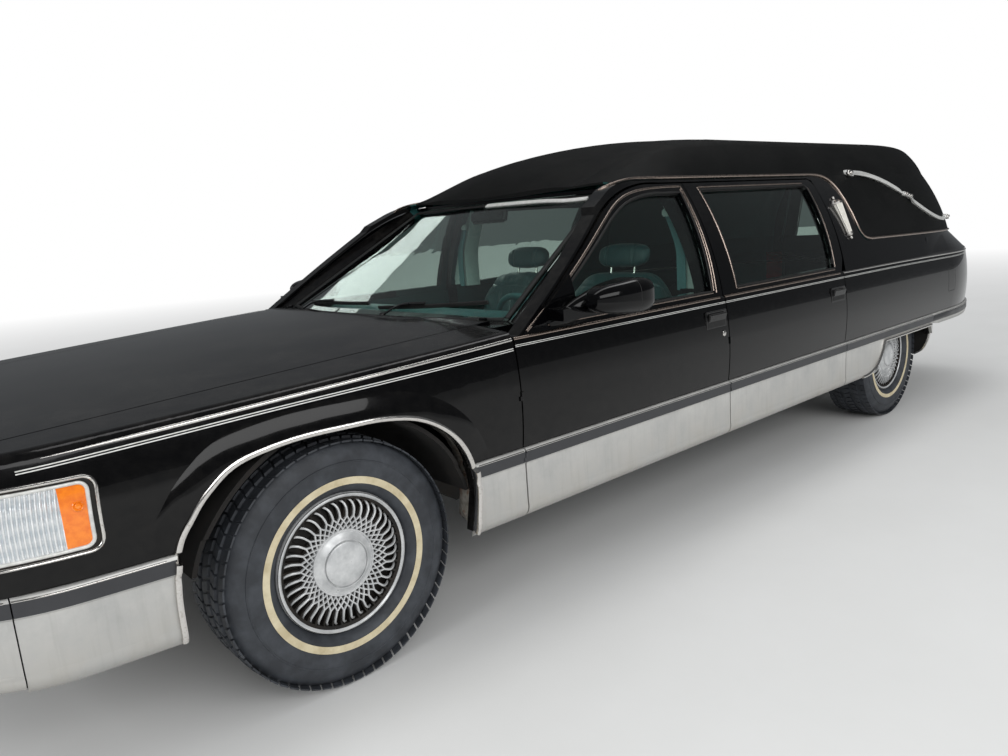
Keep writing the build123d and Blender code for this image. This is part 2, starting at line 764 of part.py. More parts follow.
def roof_plan(x):
    """Half-width of the glasshouse at the shoulder's top."""
    return glass_y(SHOULDER_TOP_Z, 3.0) - taper(min(x, ROOF_TAPER_X))


def shoulder():
    """The sloping shoulder that flares from the tapering roof out to the belt, round the tail."""
    x0, x1, x2 = TAIL_X + 1218.5, TAIL_START_X, BODY_TAIL[1][1]
    low = [(x0, HALF_W + BELT_IN), (x1, HALF_W + BELT_IN)]
    for arc in BODY_TAIL:
        low.append(plan_at(arc, -BELT_IN, (arc[3] + arc[4]) / 2) + plan_at(arc, -BELT_IN, arc[4]))
    xa, xb, tip = TAIL_X + 258.5, ROOF_TAIL_X + 17, ROOF_TAIL_X + 11
    y = roof_plan(xa)
    high = [
        (x0, roof_plan(x0)),
        (x1, roof_plan(x1)),
        ((x1 + xa) / 2, roof_plan((x1 + xa) / 2), xa, y),
        (xa - 48, y - 20, xb, y - 62),
        (tip, (y - 62) / 2, tip, 0),
    ]
    faces = [
        outline(low + [(x0, 0)], Plane.XY.offset(BELT_Z - 0.5)),
        outline(high + [(x0, 0)], Plane.XY.offset(SHOULDER_TOP_Z)),
    ]
    half = loft(faces, ruled=True)
    return half + other_side(half)


def tail_outer():
    """Painted rear body under the belt, both sides and across the back."""
    profile = side_profile(PANEL_T, CLAD_TOP_Z + 2)
    half = wrap(profile, BODY_TAIL)
    shelf = end_plate(BODY_TAIL, -BELT_IN, TAIL_X + 1218.5, BELT_Z - 18, BELT_Z)
    return half, shelf + shoulder()


def rear_body(parts):
    """Quarter panels, rear door of the load space, and the vinyl roof."""
    x0 = DOOR_REAR_X - DOOR_GAP / 2
    far, near = TAIL_X - 31.5, TAIL_X + 338.5
    side = section(side_profile(PANEL_T), TAIL_START_X, x0)
    side -= side_view(wheel_arch_rear(), 600, 1100)
    side -= block(TAIL_START_X - 100, REAR_BUMPER_X, 600, 1100, 300, CLAD_TOP_Z + 2)
    corner, shelf = tail_outer()
    roof = roof_solid(0.0, BELT_Z)
    room = roof_solid(60.0, BELT_Z - 40)
    upper = (roof_solid(PAINT_IN, BELT_Z) - room) & block(TAIL_X + 68.5, DOOR_REAR_X - 41, -1000, 1000, BELT_Z, 1500)
    upper -= side_view(BAND_LINE, -1100, 1100)
    shelf -= room
    hole = section(TAILGATE_HOLE, far, near)
    lower = side + corner
    quarters = lower + other_side(lower) + shelf + upper
    door_solid = quarters
    quarters -= hole
    lamps = both(block(far, near, 585, 715, 625, 905))
    parts["tail_lamps"] = quarters & lamps
    quarters -= lamps
    fixed, moving = [], []
    for z in (690.0, 860.0):
        for z0, z1, store, y0, y1 in ((z - 30, z - 0.15, fixed, 0, 9), (z + 0.15, z + 30, moving, -9, 0)):
            x, y = TAILGATE_HINGE_X, TAILGATE_HINGE_Y
            store.append(barrel(x, y, z0, z1, 6.0) + block(x - 3, x + 40, y + y0, y + y1, z0, z1))
    parts["quarter_panels"] = quarters + fixed
    vinyl = (roof - room) & side_view(BAND_LINE, -1100, 1100)
    ahead = [(760, 1000), (648, 655), (650 + SCREEN_HIGH_BOW, 0, 648, -655), (760, -1000)]
    vinyl -= plan_view(moved(ahead + [(1000, -1000), (1000, 1000)], CABIN_X), 1300, 1700)
    vinyl -= block(CABIN_X + 500, CABIN_X + 800, -715, 715, 1300, HEADER_TOP_Z + SEAT_GAP)
    edge = section(TAILGATE_EDGE, far, near)
    gate = (door_solid + vinyl) & edge
    gate -= section(TAILGATE_WINDOW, far, near)
    gate -= roof_solid(34.0, BELT_Z - 40)
    parts["tailgate"] = gate + moving
    parts["vinyl_roof"] = vinyl - hole
    slab = block(ROOF_TAIL_X + 20, ROOF_TAIL_X + 20 + GLASS_T, -600, 600, 900, 1500)
    slab = slab.rotate(Axis((ROOF_TAIL_X, 0, BELT_Z), (0, 1, 0)), TAIL_LEAN)
    parts["tailgate_glass"] = slab & section(TAILGATE_WINDOW, far, near)


def cladding_root():
    """Lower cladding that stays with the body: by the wheels, ahead and behind."""
    ahead = wrap(clad_profile(-4.0), BUMPER_NOSE)
    arch_front = side_view(wheel_arch_front(), 600, 1100)
    arch_rear = side_view(wheel_arch_rear(), 600, 1100)
    nose = ahead & block(DOOR_FRONT_X + DOOR_GAP / 2, BUMPER_SEAM_X - 3, 600, 1100, 300, 600)
    nose -= arch_front
    nose -= nose_solid(-SEAT_GAP, HOOD_REAR_X - 10, NOSE_FACE_X)
    nose += hinge_halves(DOOR_FRONT_X, HINGE_Y, DOOR_HINGE_Z[0], 1, 6.0)[0]
    tail = section(clad_profile(), REAR_BUMPER_X + 3, DOOR_REAR_X - DOOR_GAP / 2) - arch_rear
    return both(nose + tail)


def bumper_profile():
    """A cladding outline with the depth of a bumper."""
    points = clad_profile()
    inner = HALF_W - BUMPER_T
    return [(inner, SILL_Z + 20), (HALF_W - 30, SILL_Z - 12 + 10)] + points[2:-1] + [(inner, CLAD_TOP_Z)]


def front_bumper():
    bar = wrap(bumper_profile(), BUMPER_NOSE)
    bar = bar & block(BUMPER_SEAM_X, NOSE_X + 30, 0, 1100, 300, 600)
    bar = bar + other_side(bar)
    holes = both(Pos(NOSE_X - 40, PLATE_PITCH / 2, PLATE_Z) * Rot(0, 90, 0) * Cylinder(PLATE_HOLE_R, 200))
    return bar - holes


def rear_bumper():
    bar = wrap(bumper_profile(), BUMPER_TAIL)
    thin_x = REAR_AXLE_X - LINER_R - 8
    bar += section(bumper_profile(), TAIL_START_X, thin_x)
    bar += section(clad_profile(), thin_x, REAR_BUMPER_X)
    x0, x1, x2 = REAR_BUMPER_X, TAIL_X + 568.5, TAIL_X - 131.5
    rise = side_view([(x0, 300), (x0, 330), (x1, 385), (x2, 400), (x2, 300)], -1100, 1100)
    bar -= rise
    bar -= side_view(wheel_arch_rear(), 600, 1100)
    return bar + other_side(bar)


GRILLE_Y = 385.0
GRILLE_Z = (598.0, 828.0)
GRILLE_DEPTH = 34.0
GRILLE_BARS = 20
GRILLE_ROWS = 6


def grille():
    """Upright grille: a raised frame filled with an egg-crate of thin bars."""
    x0, x1 = NOSE_FACE_X, NOSE_FACE_X + GRILLE_DEPTH
    z0, z1 = GRILLE_Z
    frame = block(x0, x1, -GRILLE_Y, GRILLE_Y, z0, z1)
    frame -= block(x0 - 1, x1 + 1, -GRILLE_Y + 22, GRILLE_Y - 22, z0 + 18, z1 - 34)
    for i in range(GRILLE_BARS):
        y = (i + 0.5 - GRILLE_BARS / 2) * 2 * (GRILLE_Y - 22) / GRILLE_BARS
        frame += block(x0, x1 - 8, y - 2.5, y + 2.5, z0 + 18, z1 - 34)
    for i in range(GRILLE_ROWS):
        z = z0 + 18 + (i + 0.5) * (z1 - 34 - z0 - 18) / GRILLE_ROWS
        frame += block(x0, x1 - 12, -GRILLE_Y + 22, GRILLE_Y - 22, z - 2.5, z + 2.5)
    return frame


def chassis_frame():
    """Perimeter frame with kick-ups, cross members and front spring towers."""
    front, back = NOSE_X - 107.5, REAR_WALL_X
    low_x, kick_x = CABIN_X + 1350, CABIN_X + 1520
    outline_points = [
        (front, 350),
        (front, 470),
        (kick_x - 20, 470),
        (low_x - 30, 330),
        (REAR_AXLE_X + 650, 330),
        (REAR_AXLE_X + 480, 560),
        (back, 560),
        (back, 460),
        (REAR_AXLE_X + 430, 460),
        (REAR_AXLE_X + 600, 230),
        (low_x, 230),
        (kick_x, 350),
    ]
    rail = side_view(outline_points, *RAIL_Y)
    frame = rail + other_side(rail)
    # x at the rear face, length, bottom, top, half-width
    crosses = (
        (FRONT_AXLE_X - 98, 200, 230, 350, 400),
        (NOSE_X - 268.5, 60, 370, 450, 360),
        (CABIN_X + 1100, 80, 232, 272, 360),
        (CABIN_X - 200, 80, 232, 272, 360),
        (CABIN_X - 900, 80, 232, 272, 360),
        (REAR_AXLE_X - 530, 60, 470, 550, 360),
        (back + 10, 60, 470, 550, 360),
    )
    for x0, length, z0, z1, y in crosses:
        frame += block(x0, x0 + length, -y, y, z0, z1)
    tower = block(FRONT_AXLE_X - 108, FRONT_AXLE_X + 108, RAIL_Y[0], RAIL_Y[1], 470, 545)
    bracket = block(TAIL_X + 8.5, back, RAIL_Y[0], RAIL_Y[1], 480, 540)
    bracket &= end_plate(BUMPER_TAIL, BUMPER_T, back + 60, 400, 600)
    horn = block(front - 1, NOSE_X - 8.5, RAIL_Y[0], RAIL_Y[1], 400, 460)
    horn &= end_plate(BUMPER_NOSE, BUMPER_T, front - 160, 300, 600)
    return frame + both(tower) + both(bracket) + both(horn)


def engine_block():
    """Engine on its cross member, and the gearbox that runs back into the tunnel."""
    x = CABIN_X + 1560
    engine = block(x, x + 820, -290, 290, 350 + SEAT_GAP, 800)
    gearbox = block(GEARBOX_X + SEAT_GAP, x, -58, 58, 272 + SEAT_GAP, 396)
    return engine + gearbox


def floor_pan():
    """Front floor, tunnel, seat plinth, and the rear floor over the axle."""
    step_x, wall_x = REAR_AXLE_X + 680, FIREWALL_X - SEAT_GAP
    floor = block(step_x, wall_x, -741, 741, FLOOR_Z - FLOOR_T, FLOOR_Z)
    plinth = block(CABIN_X + 330, CABIN_X + 830, -640, 640, FLOOR_Z, SEAT_FOOT_Z)
    step = block(step_x - 18, step_x, -741, 741, 330, REAR_FLOOR_Z)
    rear = block(REAR_WALL_X, step_x, -560, 560, REAR_FLOOR_Z - FLOOR_T, REAR_FLOOR_Z)
    tunnel = block(step_x - 18, wall_x, -TUNNEL_Y, TUNNEL_Y, 330, TUNNEL_Z)
    pan = floor + plinth + step + rear + tunnel
    return pan - block(step_x - 70, FIREWALL_X, -TUNNEL_Y + 12, TUNNEL_Y - 12, 300, TUNNEL_Z - 12)


def arm(y0, z0, z1, spread):
    """A plan-triangle suspension arm from the frame to the ball joint."""
    x = FRONT_AXLE_X
    web = plan_view([(x - spread, y0), (x + spread, y0), (x + 24, KINGPIN_Y), (x - 24, KINGPIN_Y)], z0, z1)
    return web + Pos(x, KINGPIN_Y, (z0 + z1) / 2) * Cylinder(28, z1 - z0)


def front_suspension():
    """Lower and upper arms of both front wheels."""
    lower = arm(400.0, 238, 262, 130)
    upper = arm(430.0, 502, 522, 90)
    return both(lower + upper)


def knuckle():
    """Left steering knuckle: an upright between the ball joints, and the wheel's spindle."""
    x = FRONT_AXLE_X
    post = Pos(x, KINGPIN_Y, (262.3 + 501.7) / 2) * Cylinder(24, 501.7 - 262.3)
    flange = tube_y(70, x, TYRE_R, KINGPIN_Y, KINGPIN_Y + 30)
    spindle = tube_y(SPINDLE_R, x, TYRE_R, KINGPIN_Y, TRACK_FRONT / 2 + SPINDLE_OUT)
    return post + flange + spindle


def rear_axle():
    """Solid rear axle with its differential and the wheel spindles."""
    x = REAR_AXLE_X
    tube = tube_y(42, x, TYRE_R, -690, 690)
    end = TRACK_REAR / 2 + SPINDLE_OUT
    spindle = tube_y(SPINDLE_R, x, TYRE_R, -end, end)
    drums = both(tube_y(140, x, TYRE_R, 640, 690))
    housing = Pos(x, 0, TYRE_R) * Sphere(125)
    springs = both(Pos(x, 395, (TYRE_R + 460) / 2) * Cylinder(40, 460 - TYRE_R))
    return tube + spindle + drums + housing + springs


def drive_shaft():
    return rod((REAR_AXLE_X + 125.3, 0, TYRE_R), (GEARBOX_X - 0.55, 0, 325), 34)


def exhaust_system():
    """One pipe low on the right, its silencer and a tail pipe."""
    y = -285.0
    z = 200.0
    pipe = rod((CABIN_X + 1450, y, z), (TAIL_X + 418.5, y, z), 26)
    x = CABIN_X - 520
    silencer = Pos(x, y, z) * Rot(0, 90, 0) * Cylinder(85, 560)
    silencer &= block(x - 380, x + 320, y - 110, y + 110, 150, 230 - SEAT_GAP)
    return pipe + silencer


def wheel(track):
    """A steel rim, its hub and the laced cover over its outer face."""
    c = track / 2
    seat = c - HUB_IN
    bore = SPINDLE_R + BORE_CLEAR
    face = outline(
        [
            (seat, bore),
            (c + SPINDLE_OUT + 2, bore),
            (c + SPINDLE_OUT + 2, 0.0),
            (c + 104, 0.0),
            (c + 101, 60, c + 86, 96),
            (c + 82, 150, c + 97, 197),
            (c + 99, 206),
            (c + 90, 206),
            (c + 84, 192.6),
            (c - 84, 192.6),
            (c - 88, 206),
            (c - 96, 206),
            (c - 96, 184),
            (c - 84, 178),
            (c + 40, 178),
            (c + 46, 150),
            (c + 46, 62),
            (seat, 62),
        ],
        Plane.YZ,
    )
    return revolve(face, Axis.Y, 360) - lace_pockets(c)


SPOKES = 40
SPOKE_W = 6.0
LACE_R = (134.0, 186.0)
LACE_DEEP = 26.0


def lace_pockets(c):
    """The pockets that leave the thin spokes of the wheel cover standing."""
    r0, r1 = LACE_R
    step = radians(360 / SPOKES)
    a, b = (step * r0 - SPOKE_W) / 2, (step * r1 - SPOKE_W) / 2
    pocket = side_view([(r0, -a), (r1, -b), (r1, b), (r0, a)], c + 86 - LACE_DEEP, c + 110)
    return [Rot(0, (i + 0.5) * 360 / SPOKES, 0) * pocket for i in range(SPOKES)]


def tyre(track):
    """A whitewall tyre: rounded shoulders on a flat tread."""
    c = track / 2
    w = TYRE_W / 2
    face = outline(
        [
            (c - 84, 206.3),
            (c - w + 4, 232, c - w, 278),
            (c - w + 5, 330, c - w + 26, 358),
            (c - 70, TYRE_R),
            (c + 70, TYRE_R),
            (c + w - 26, 358),
            (c + w - 5, 330, c + w, 278),
            (c + w - 4, 232, c + 84, 206.3),
            (c + 83, 192.9),
            (c - 83, 192.9),
        ],
        Plane.YZ,
    )
    return revolve(face, Axis.Y, 360)


def wheelhouse_liners():
    """Liners over the four wheels, open at the foot."""
    front = tube_y(LINER_R, FRONT_AXLE_X, TYRE_R, 445, 1000, LINER_R - LINER_T)
    wall = tube_y(LINER_R, FRONT_AXLE_X, TYRE_R, 445, 457)
    x0, x1 = FRONT_AXLE_X - 600, FRONT_AXLE_X + 600
    front = front - block(x0, x1, 400, 1100, -100, 480)
    wall = wall - block(x0, x1, 400, 1100, -100, 600)
    front = (front + wall) & nose_solid(FENDER_T, DOOR_FRONT_X + 3, NOSE_FACE_X - 25)
    rear = tube_y(LINER_R, REAR_AXLE_X, TYRE_R, 575, HALF_W - PANEL_T, LINER_R - LINER_T)
    back = tube_y(LINER_R, REAR_AXLE_X, TYRE_R, 575, 587)
    rear = (rear + back) - block(REAR_AXLE_X - 600, REAR_AXLE_X + 600, 500, 1100, -100, 480)
    return both(front) + both(rear)


def dashboard():
    """Dashboard against the firewall, and the steering column out of it."""
    back, top = FIREWALL_X - SEAT_GAP, BELT_Z - SEAT_GAP
    board = side_view(
        [(back, 640), (back, top), (back - 150, top), (back - 290, 915, back - 315, 860)]
        + [(back - 260, 780), (back - 200, 640)],
        -778,
        778,
    )
    x, y, z = STEER_CENTRE
    ahead, down = cos(radians(STEER_TILT)), sin(radians(STEER_TILT))
    near, far = STEER_HUB / 2 + SEAT_GAP, 270.0
    column = rod((x + far * ahead, y, z - far * down), (x + near * ahead, y, z - near * down), 24)
    return board + column


def steering_wheel():
    ring_shape = Torus(182, 13)
    spokes = (Box(350, 36, 12) + Box(36, 350, 12)) & Cylinder(180, 12)
    body = ring_shape + spokes + Cylinder(46, STEER_HUB)
    return Pos(*STEER_CENTRE) * Rot(0, -(90 - STEER_TILT), 0) * body


def front_bench():
    """Cushion, backrest and two head restraints of the front bench."""
    cushion = block(CABIN_X + 330, CABIN_X + 830, -690, 690, SEAT_FOOT_Z, 560)
    side = moved([(330, SEAT_FOOT_Z), (330, 560), (235, 1000), (115, 1000), (200, SEAT_FOOT_Z)], CABIN_X)
    back = side_view(side, -690, 690)
    rests = both(block(CABIN_X + 120, CABIN_X + 205, 250, 500, 990, 1125))
    return cushion + back + rests


def casket_deck():
    """Load floor with its bier-pin holes, raised on bearers over the rear floor."""
    wide, narrow, back = REAR_AXLE_X + 460, REAR_AXLE_X - 460, REAR_WALL_X + 80
    half = [(DECK_FRONT_X, 850), (wide, 850), (wide, 560), (narrow, 560), (narrow, 720), (back, 720)]
    top = plan_view(half + [(x, -y) for x, y in reversed(half)], DECK_Z - DECK_T, DECK_Z)
    for i in range(4):
        x = REAR_AXLE_X + 360 - 450 * i
        top += block(x - 20, x + 20, -500, 500, REAR_FLOOR_Z, DECK_Z - DECK_T)
    bulkhead = block(DECK_FRONT_X - 20, DECK_FRONT_X, -741, 741, FLOOR_Z, DECK_Z)
    top += bulkhead - block(DECK_FRONT_X - 30, DECK_FRONT_X + 10, -TUNNEL_Y, TUNNEL_Y, FLOOR_Z - 10, TUNNEL_Z)
    for x in (-PIN_PITCH_X / 2, PIN_PITCH_X / 2):
        for y in (-PIN_PITCH_Y / 2, PIN_PITCH_Y / 2):
            top -= Pos(REAR_AXLE_X + 110 + x, y, DECK_Z) * Cylinder(PIN_R, 120)
    return top


def cone(start, end, r0, r1):
    """A round bar between two points that tapers from one radius to another."""
    a, b = Vector(*start), Vector(*end)
    at = Plane(origin=a, z_dir=b - a)
    return loft([at * Circle(r0), at.offset((b - a).length) * Circle(r1)])


def on_side(x, z, out):
    """A point that stands off the side of the roof."""
    return (CABIN_X + x, glass_y(z, 3.0) + out, z)


def coach_lamp():
    """A tapered lamp with a cap and pointed ends, on the panel behind the rear door."""
    foot, low, high, cap, tip = (
        on_side(-983, 1104, 9),
        on_side(-981, 1120, 12),
        on_side(-964, 1270, 16),
        on_side(-962, 1284, 14),
        on_side(-961, 1298, 10),
    )
    lens = cone(low, high, 15, 27)
    ends = cone(foot, low, 8, 17) + cone(high, cap, 30, 20) + Pos(*tip) * Sphere(9) + Pos(*foot) * Sphere(9)
    return (lens + ends + rod(cap, tip, 7)) - roof_solid(PAINT_IN - SEAT_GAP, 1000)


def landau_iron():
    """The S-shaped iron on the rear of the roof, with its rosette, knuckle and lower end."""
    bar = moved(
        [
            (-1271, 1446),
            (-1600, 1420, -1870, 1308),
            (-2200, 1170, -2560, 1148),
            (-2560, 1130),
            (-2200, 1146, -1870, 1276),
            (-1600, 1390, -1271, 1426),
        ],
        CABIN_X,
    )
    seat = roof_solid(-SEAT_GAP, 1000)
    thin = roof_solid(-14.0, 1000) - seat
    thick = roof_solid(-24.0, 1000) - seat
    # x, z, radius of each boss
    bosses = ((-1283.0, 1436.0, 34.0), (-1850.0, 1302.0, 24.0), (-1890.0, 1288.0, 30.0), (-2580.0, 1139.0, 27.0))
    iron = side_view(bar, 500, 1100) & thin
    for x, z, radius in bosses:
        iron += tube_y(radius, CABIN_X + x, z, 500, 1100) & thick
    return iron


def mirror_shell():
    """Door mirror: a bullet-shaped shell on an arm from a plate in the window's front corner."""
    # x, half-width, half-height, corner radius
    stations = ((969, 70, 50, 30), (985, 75, 56, 38), (1080, 74, 56, 44), (1160, 58, 46, 38), (1210, 26, 24, 20))
    rings = [
        Plane.YZ.offset(CABIN_X + x) * (Pos(1072, 1022, 0) * RectangleRounded(2 * w, 2 * h, r))
        for x, w, h, r in stations
    ]
    x = CABIN_X
    plate = glass_layer(x + 1150, x + 1390, 958, 1108, 9, SEAT_GAP)
    plate &= side_view(moved([(1378, 958), (1150, 958), (1150, 1104)], x), 700, 1100)
    arm_part = block(x + 1110, x + 1300, 935, 1030, 966, 1004) - glass_layer(x + 1000, x + 1400, 900, 1100, 5, -60)
    return loft(rings) + plate + arm_part


def build():
    parts = {}
    front_body(parts)
    rear_body(parts)
    left = {
        "front_door": front_door(),
        "rear_door": rear_door(),
        "front_door_glass": door_glass(WINDOW_FRONT, DOOR_MID_X - 18, DOOR_FRONT_X - 68),
        "rear_door_glass": door_glass(WINDOW_REAR, FRAME_REAR_X, DOOR_MID_X - 8),
        "front_door_cladding": door_clad(DOOR_MID_X + 3, DOOR_FRONT_X - 3),
        "rear_door_cladding": door_clad(DOOR_REAR_X + 3, DOOR_MID_X - 3),
        "knuckle": knuckle(),
        "mirror": mirror_shell(),
    }
    for axle, x, track in (("front", FRONT_AXLE_X, TRACK_FRONT), ("rear", REAR_AXLE_X, TRACK_REAR)):
        left[f"{axle}_wheel"] = Pos(x, 0, TYRE_R) * wheel(track)
        left[f"{axle}_tyre"] = Pos(x, 0, TYRE_R) * tyre(track)
    for name, shape in left.items():
        parts[name + "_left"] = shape
        parts[name + "_right"] = other_side(shape)
    parts["windshield"] = windshield()
    parts["body_frame"] = body_frame()
    parts["lower_cladding"] = cladding_root()
    parts["front_bumper"] = front_bumper()
    parts["rear_bumper"] = rear_bumper()
    parts["grille"] = grille()
    parts["chassis_frame"] = chassis_frame()
    parts["floor_pan"] = floor_pan()
    parts["engine_block"] = engine_block()
    parts["front_suspension"] = front_suspension()
    parts["rear_axle"] = rear_axle()
    parts["drive_shaft"] = drive_shaft()
    parts["exhaust_system"] = exhaust_system()
    parts["fuel_tank"] = block(TAIL_X + 328.5, REAR_AXLE_X - 590, -330, 330, 320, REAR_FLOOR_Z - FLOOR_T - SEAT_GAP)
    parts["wheelhouse_liners"] = wheelhouse_liners()
    parts["dashboard"] = dashboard()
    parts["steering_wheel"] = steering_wheel()
    parts["front_bench"] = front_bench()
    parts["casket_deck"] = casket_deck()
    parts["coach_lamps"] = both(coach_lamp())
    parts["landau_irons"] = both(landau_iron())
    return parts


def main():
    os.makedirs("parts", exist_ok=True)
    for name, shape in build().items():
        export_step(shape, f"parts/{name}.step")


main()
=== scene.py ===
# %% [markdown]
# # A hearse: from its CAD frame to its looks
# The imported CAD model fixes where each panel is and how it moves. This file gives the panels
# their finishes. It adds what is too thin or too soft to be a solid: trim, tread, laced wheel
# covers, lamp frames and padded seats. Lengths are in metres. X is forward, Y is to the
# driver's left and Z is up.

# %% The frame
import math
from functools import partial
from math import cos, degrees, pi, radians, sin

import bmesh
import bpy
from mathutils import Matrix, Vector
from mathutils.bvhtree import BVHTree


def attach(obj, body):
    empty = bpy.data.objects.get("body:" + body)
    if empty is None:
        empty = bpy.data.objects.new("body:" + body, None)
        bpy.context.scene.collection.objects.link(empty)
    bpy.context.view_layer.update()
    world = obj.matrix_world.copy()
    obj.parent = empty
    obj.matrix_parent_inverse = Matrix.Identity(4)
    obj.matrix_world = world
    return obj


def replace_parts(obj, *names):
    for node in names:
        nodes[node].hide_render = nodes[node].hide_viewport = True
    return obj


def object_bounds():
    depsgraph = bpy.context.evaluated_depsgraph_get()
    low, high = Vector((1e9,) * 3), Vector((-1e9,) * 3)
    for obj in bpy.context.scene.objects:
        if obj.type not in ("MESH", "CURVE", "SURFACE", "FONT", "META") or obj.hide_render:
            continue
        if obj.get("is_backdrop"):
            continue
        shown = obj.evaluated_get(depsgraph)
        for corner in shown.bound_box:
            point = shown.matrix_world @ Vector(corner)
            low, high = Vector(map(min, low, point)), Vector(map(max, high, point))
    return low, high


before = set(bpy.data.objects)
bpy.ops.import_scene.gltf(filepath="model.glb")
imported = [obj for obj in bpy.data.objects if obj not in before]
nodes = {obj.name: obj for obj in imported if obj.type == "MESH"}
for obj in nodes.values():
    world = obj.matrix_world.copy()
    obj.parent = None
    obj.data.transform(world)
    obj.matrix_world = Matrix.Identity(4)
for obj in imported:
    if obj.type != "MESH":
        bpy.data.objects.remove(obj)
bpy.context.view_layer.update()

# %% [markdown]
# ## Camera
# A camera could be placed by eye. This one stands where a fit to the photograph puts it, so
# that the two can be laid over each other: close to the front left corner, a little above the
# hood, and turned slightly about its own axis.

# %% Camera
YAW, PITCH, ROLL = radians(49.2019), radians(11.2786), radians(-4.0766)
CAMERA_AT = (3.068, 2.761, 1.285)
FOCAL_PX = 763.249
IMAGE_W = 1008


def camera_axes():
    """Right, up and forward of the camera in the row frame."""
    ahead = Vector((-cos(YAW) * cos(PITCH), -sin(YAW) * cos(PITCH), -sin(PITCH)))
    right = ahead.cross(Vector((0, 0, 1))).normalized()
    up = right.cross(ahead)
    return right * cos(ROLL) + up * sin(ROLL), up * cos(ROLL) - right * sin(ROLL), ahead


lens = bpy.data.cameras.new("camera")
lens.sensor_width = 36.0
lens.lens = FOCAL_PX / IMAGE_W * lens.sensor_width
lens.clip_end = 200.0
camera = bpy.data.objects.new("camera", lens)
bpy.context.scene.collection.objects.link(camera)
right, up, ahead = camera_axes()
camera.matrix_world = Matrix.Translation(CAMERA_AT) @ Matrix((right, up, -ahead)).transposed().to_4x4()
bpy.context.scene.camera = camera
bpy.context.scene.view_settings.view_transform = "Standard"
print("camera lens", round(lens.lens, 2), "mm")

# %% [markdown]
# ## Building a shader in code
# A shader can be wired by hand in the editor or in code. Code keeps every value readable, so
# one small function adds a node of any kind, gives or links its inputs and returns an output.
# Colours are written as sRGB hex and made linear in one place. The size of a pattern is
# written in millimetres, because that is how a real grain or scratch is measured.

# %% Adding nodes
NOISE, CELLS = "ShaderNodeTexNoise", "ShaderNodeTexVoronoi"
RANGE, MATHS, MIX = "ShaderNodeMapRange", "ShaderNodeMath", "ShaderNodeMix"
SPLIT, BUMP = "ShaderNodeSeparateXYZ", "ShaderNodeBump"
SOFT = {"Detail": 3.0, "Roughness": 0.6}


def linear(hex_colour):
    """sRGB hex to the linear colour that the shaders expect."""
    parts = [int(hex_colour[i : i + 2], 16) / 255 for i in (1, 3, 5)]
    return tuple(c / 12.92 if c <= 0.04045 else ((c + 0.055) / 1.055) ** 2.4 for c in parts) + (1.0,)


def per_metre(millimetres):
    """The scale of a pattern whose features are this large."""
    return 1000.0 / millimetres


def wire(made, inputs):
    """Links or sets a node's inputs. A colour may be written in hex."""
    for key, value in inputs.items():
        if isinstance(value, bpy.types.NodeSocket):
            made.id_data.links.new(value, made.inputs[key])
        else:
            made.inputs[key].default_value = linear(value) if isinstance(value, str) else value


def node(tree, kind, inputs=None, out=0, **settings):
    """Adds a node with its settings and inputs, and returns one of its outputs."""
    made = tree.nodes.new(kind)
    for key, value in settings.items():
        setattr(made, key, value)
    wire(made, inputs or {})
    return made.outputs[out] if len(made.outputs) else made


def surface(name, colour, rough, metal=0.0, **extra):
    """A new material: itself, a function that adds its nodes, its shader and its coordinates."""
    made = bpy.data.materials.new(name)
    made.use_nodes = True
    made.node_tree.nodes.clear()
    add = partial(node, made.node_tree)
    looks = {"Base Color": colour, "Roughness": rough, "Metallic": metal}
    looks.update({key.replace("_", " "): value for key, value in extra.items()})
    shader = add("ShaderNodeBsdfPrincipled", looks).node
    add("ShaderNodeOutputMaterial", {"Surface": shader.outputs[0]})
    return made, add, shader, add("ShaderNodeTexCoord", out="Object")


def show(made, closure):
    """Makes a closure the one that a material shows."""
    output = next(n for n in made.node_tree.nodes if n.type == "OUTPUT_MATERIAL")
    wire(output, {"Surface": closure})


print("noise, cells, ranges, sums, mixes and bumps are all added by one function")

# %% [markdown]
# ## Paint
# The body is sprayed enamel that was polished for years. It gives a black that is nearly empty,
# with sharp reflections from a clear coat. Dust settles where a face looks up and thickens low
# down. The same panel is teal plastic on its cabin side, and a mask on the direction of the
# face splits the two, since a second mesh there would only flicker against the first.

# %% Gloss black paint
ACROSS = -0.12
DOOR_TRIM_TOP, DOOR_TRIM_FRONT, CABIN_FRONT = 0.93, 1.44, 0.66


def dusty_up(add, coords):
    """More where a face looks up, broken by patches about 200 mm wide."""
    up = add(SPLIT, {0: add("ShaderNodeNewGeometry", out="Normal")}, "Z")
    patch = add(NOISE, {"Vector": coords, "Scale": per_metre(200), "Detail": 6.0, "Roughness": 0.6})
    return add(MATHS, {0: add(RANGE, {0: up, 1: 0.3}), 1: add(RANGE, {0: patch, 1: 0.35, 2: 0.75})}, operation="MULTIPLY")


def inward(add, coords):
    """1 on cabin faces that look towards the middle plane, such as the inside of a door."""
    x, y, z = (add(SPLIT, {0: coords}, axis) for axis in "XYZ")
    sideways = add(SPLIT, {0: add("ShaderNodeNewGeometry", out="Normal")}, "Y")
    facing = add(MATHS, {0: add(MATHS, {0: sideways, 1: y}, operation="MULTIPLY"), 1: ACROSS}, operation="LESS_THAN")
    low = add(MATHS, {0: z, 1: DOOR_TRIM_TOP}, operation="LESS_THAN")
    near = add(MATHS, {0: x, 1: DOOR_TRIM_FRONT}, operation="LESS_THAN")
    door = add(MATHS, {0: low, 1: near}, operation="MULTIPLY")
    back = add(MATHS, {0: x, 1: CABIN_FRONT}, operation="LESS_THAN")
    cabin = add(MATHS, {0: door, 1: back}, operation="MAXIMUM")
    return add(MATHS, {0: facing, 1: cabin}, operation="MULTIPLY")


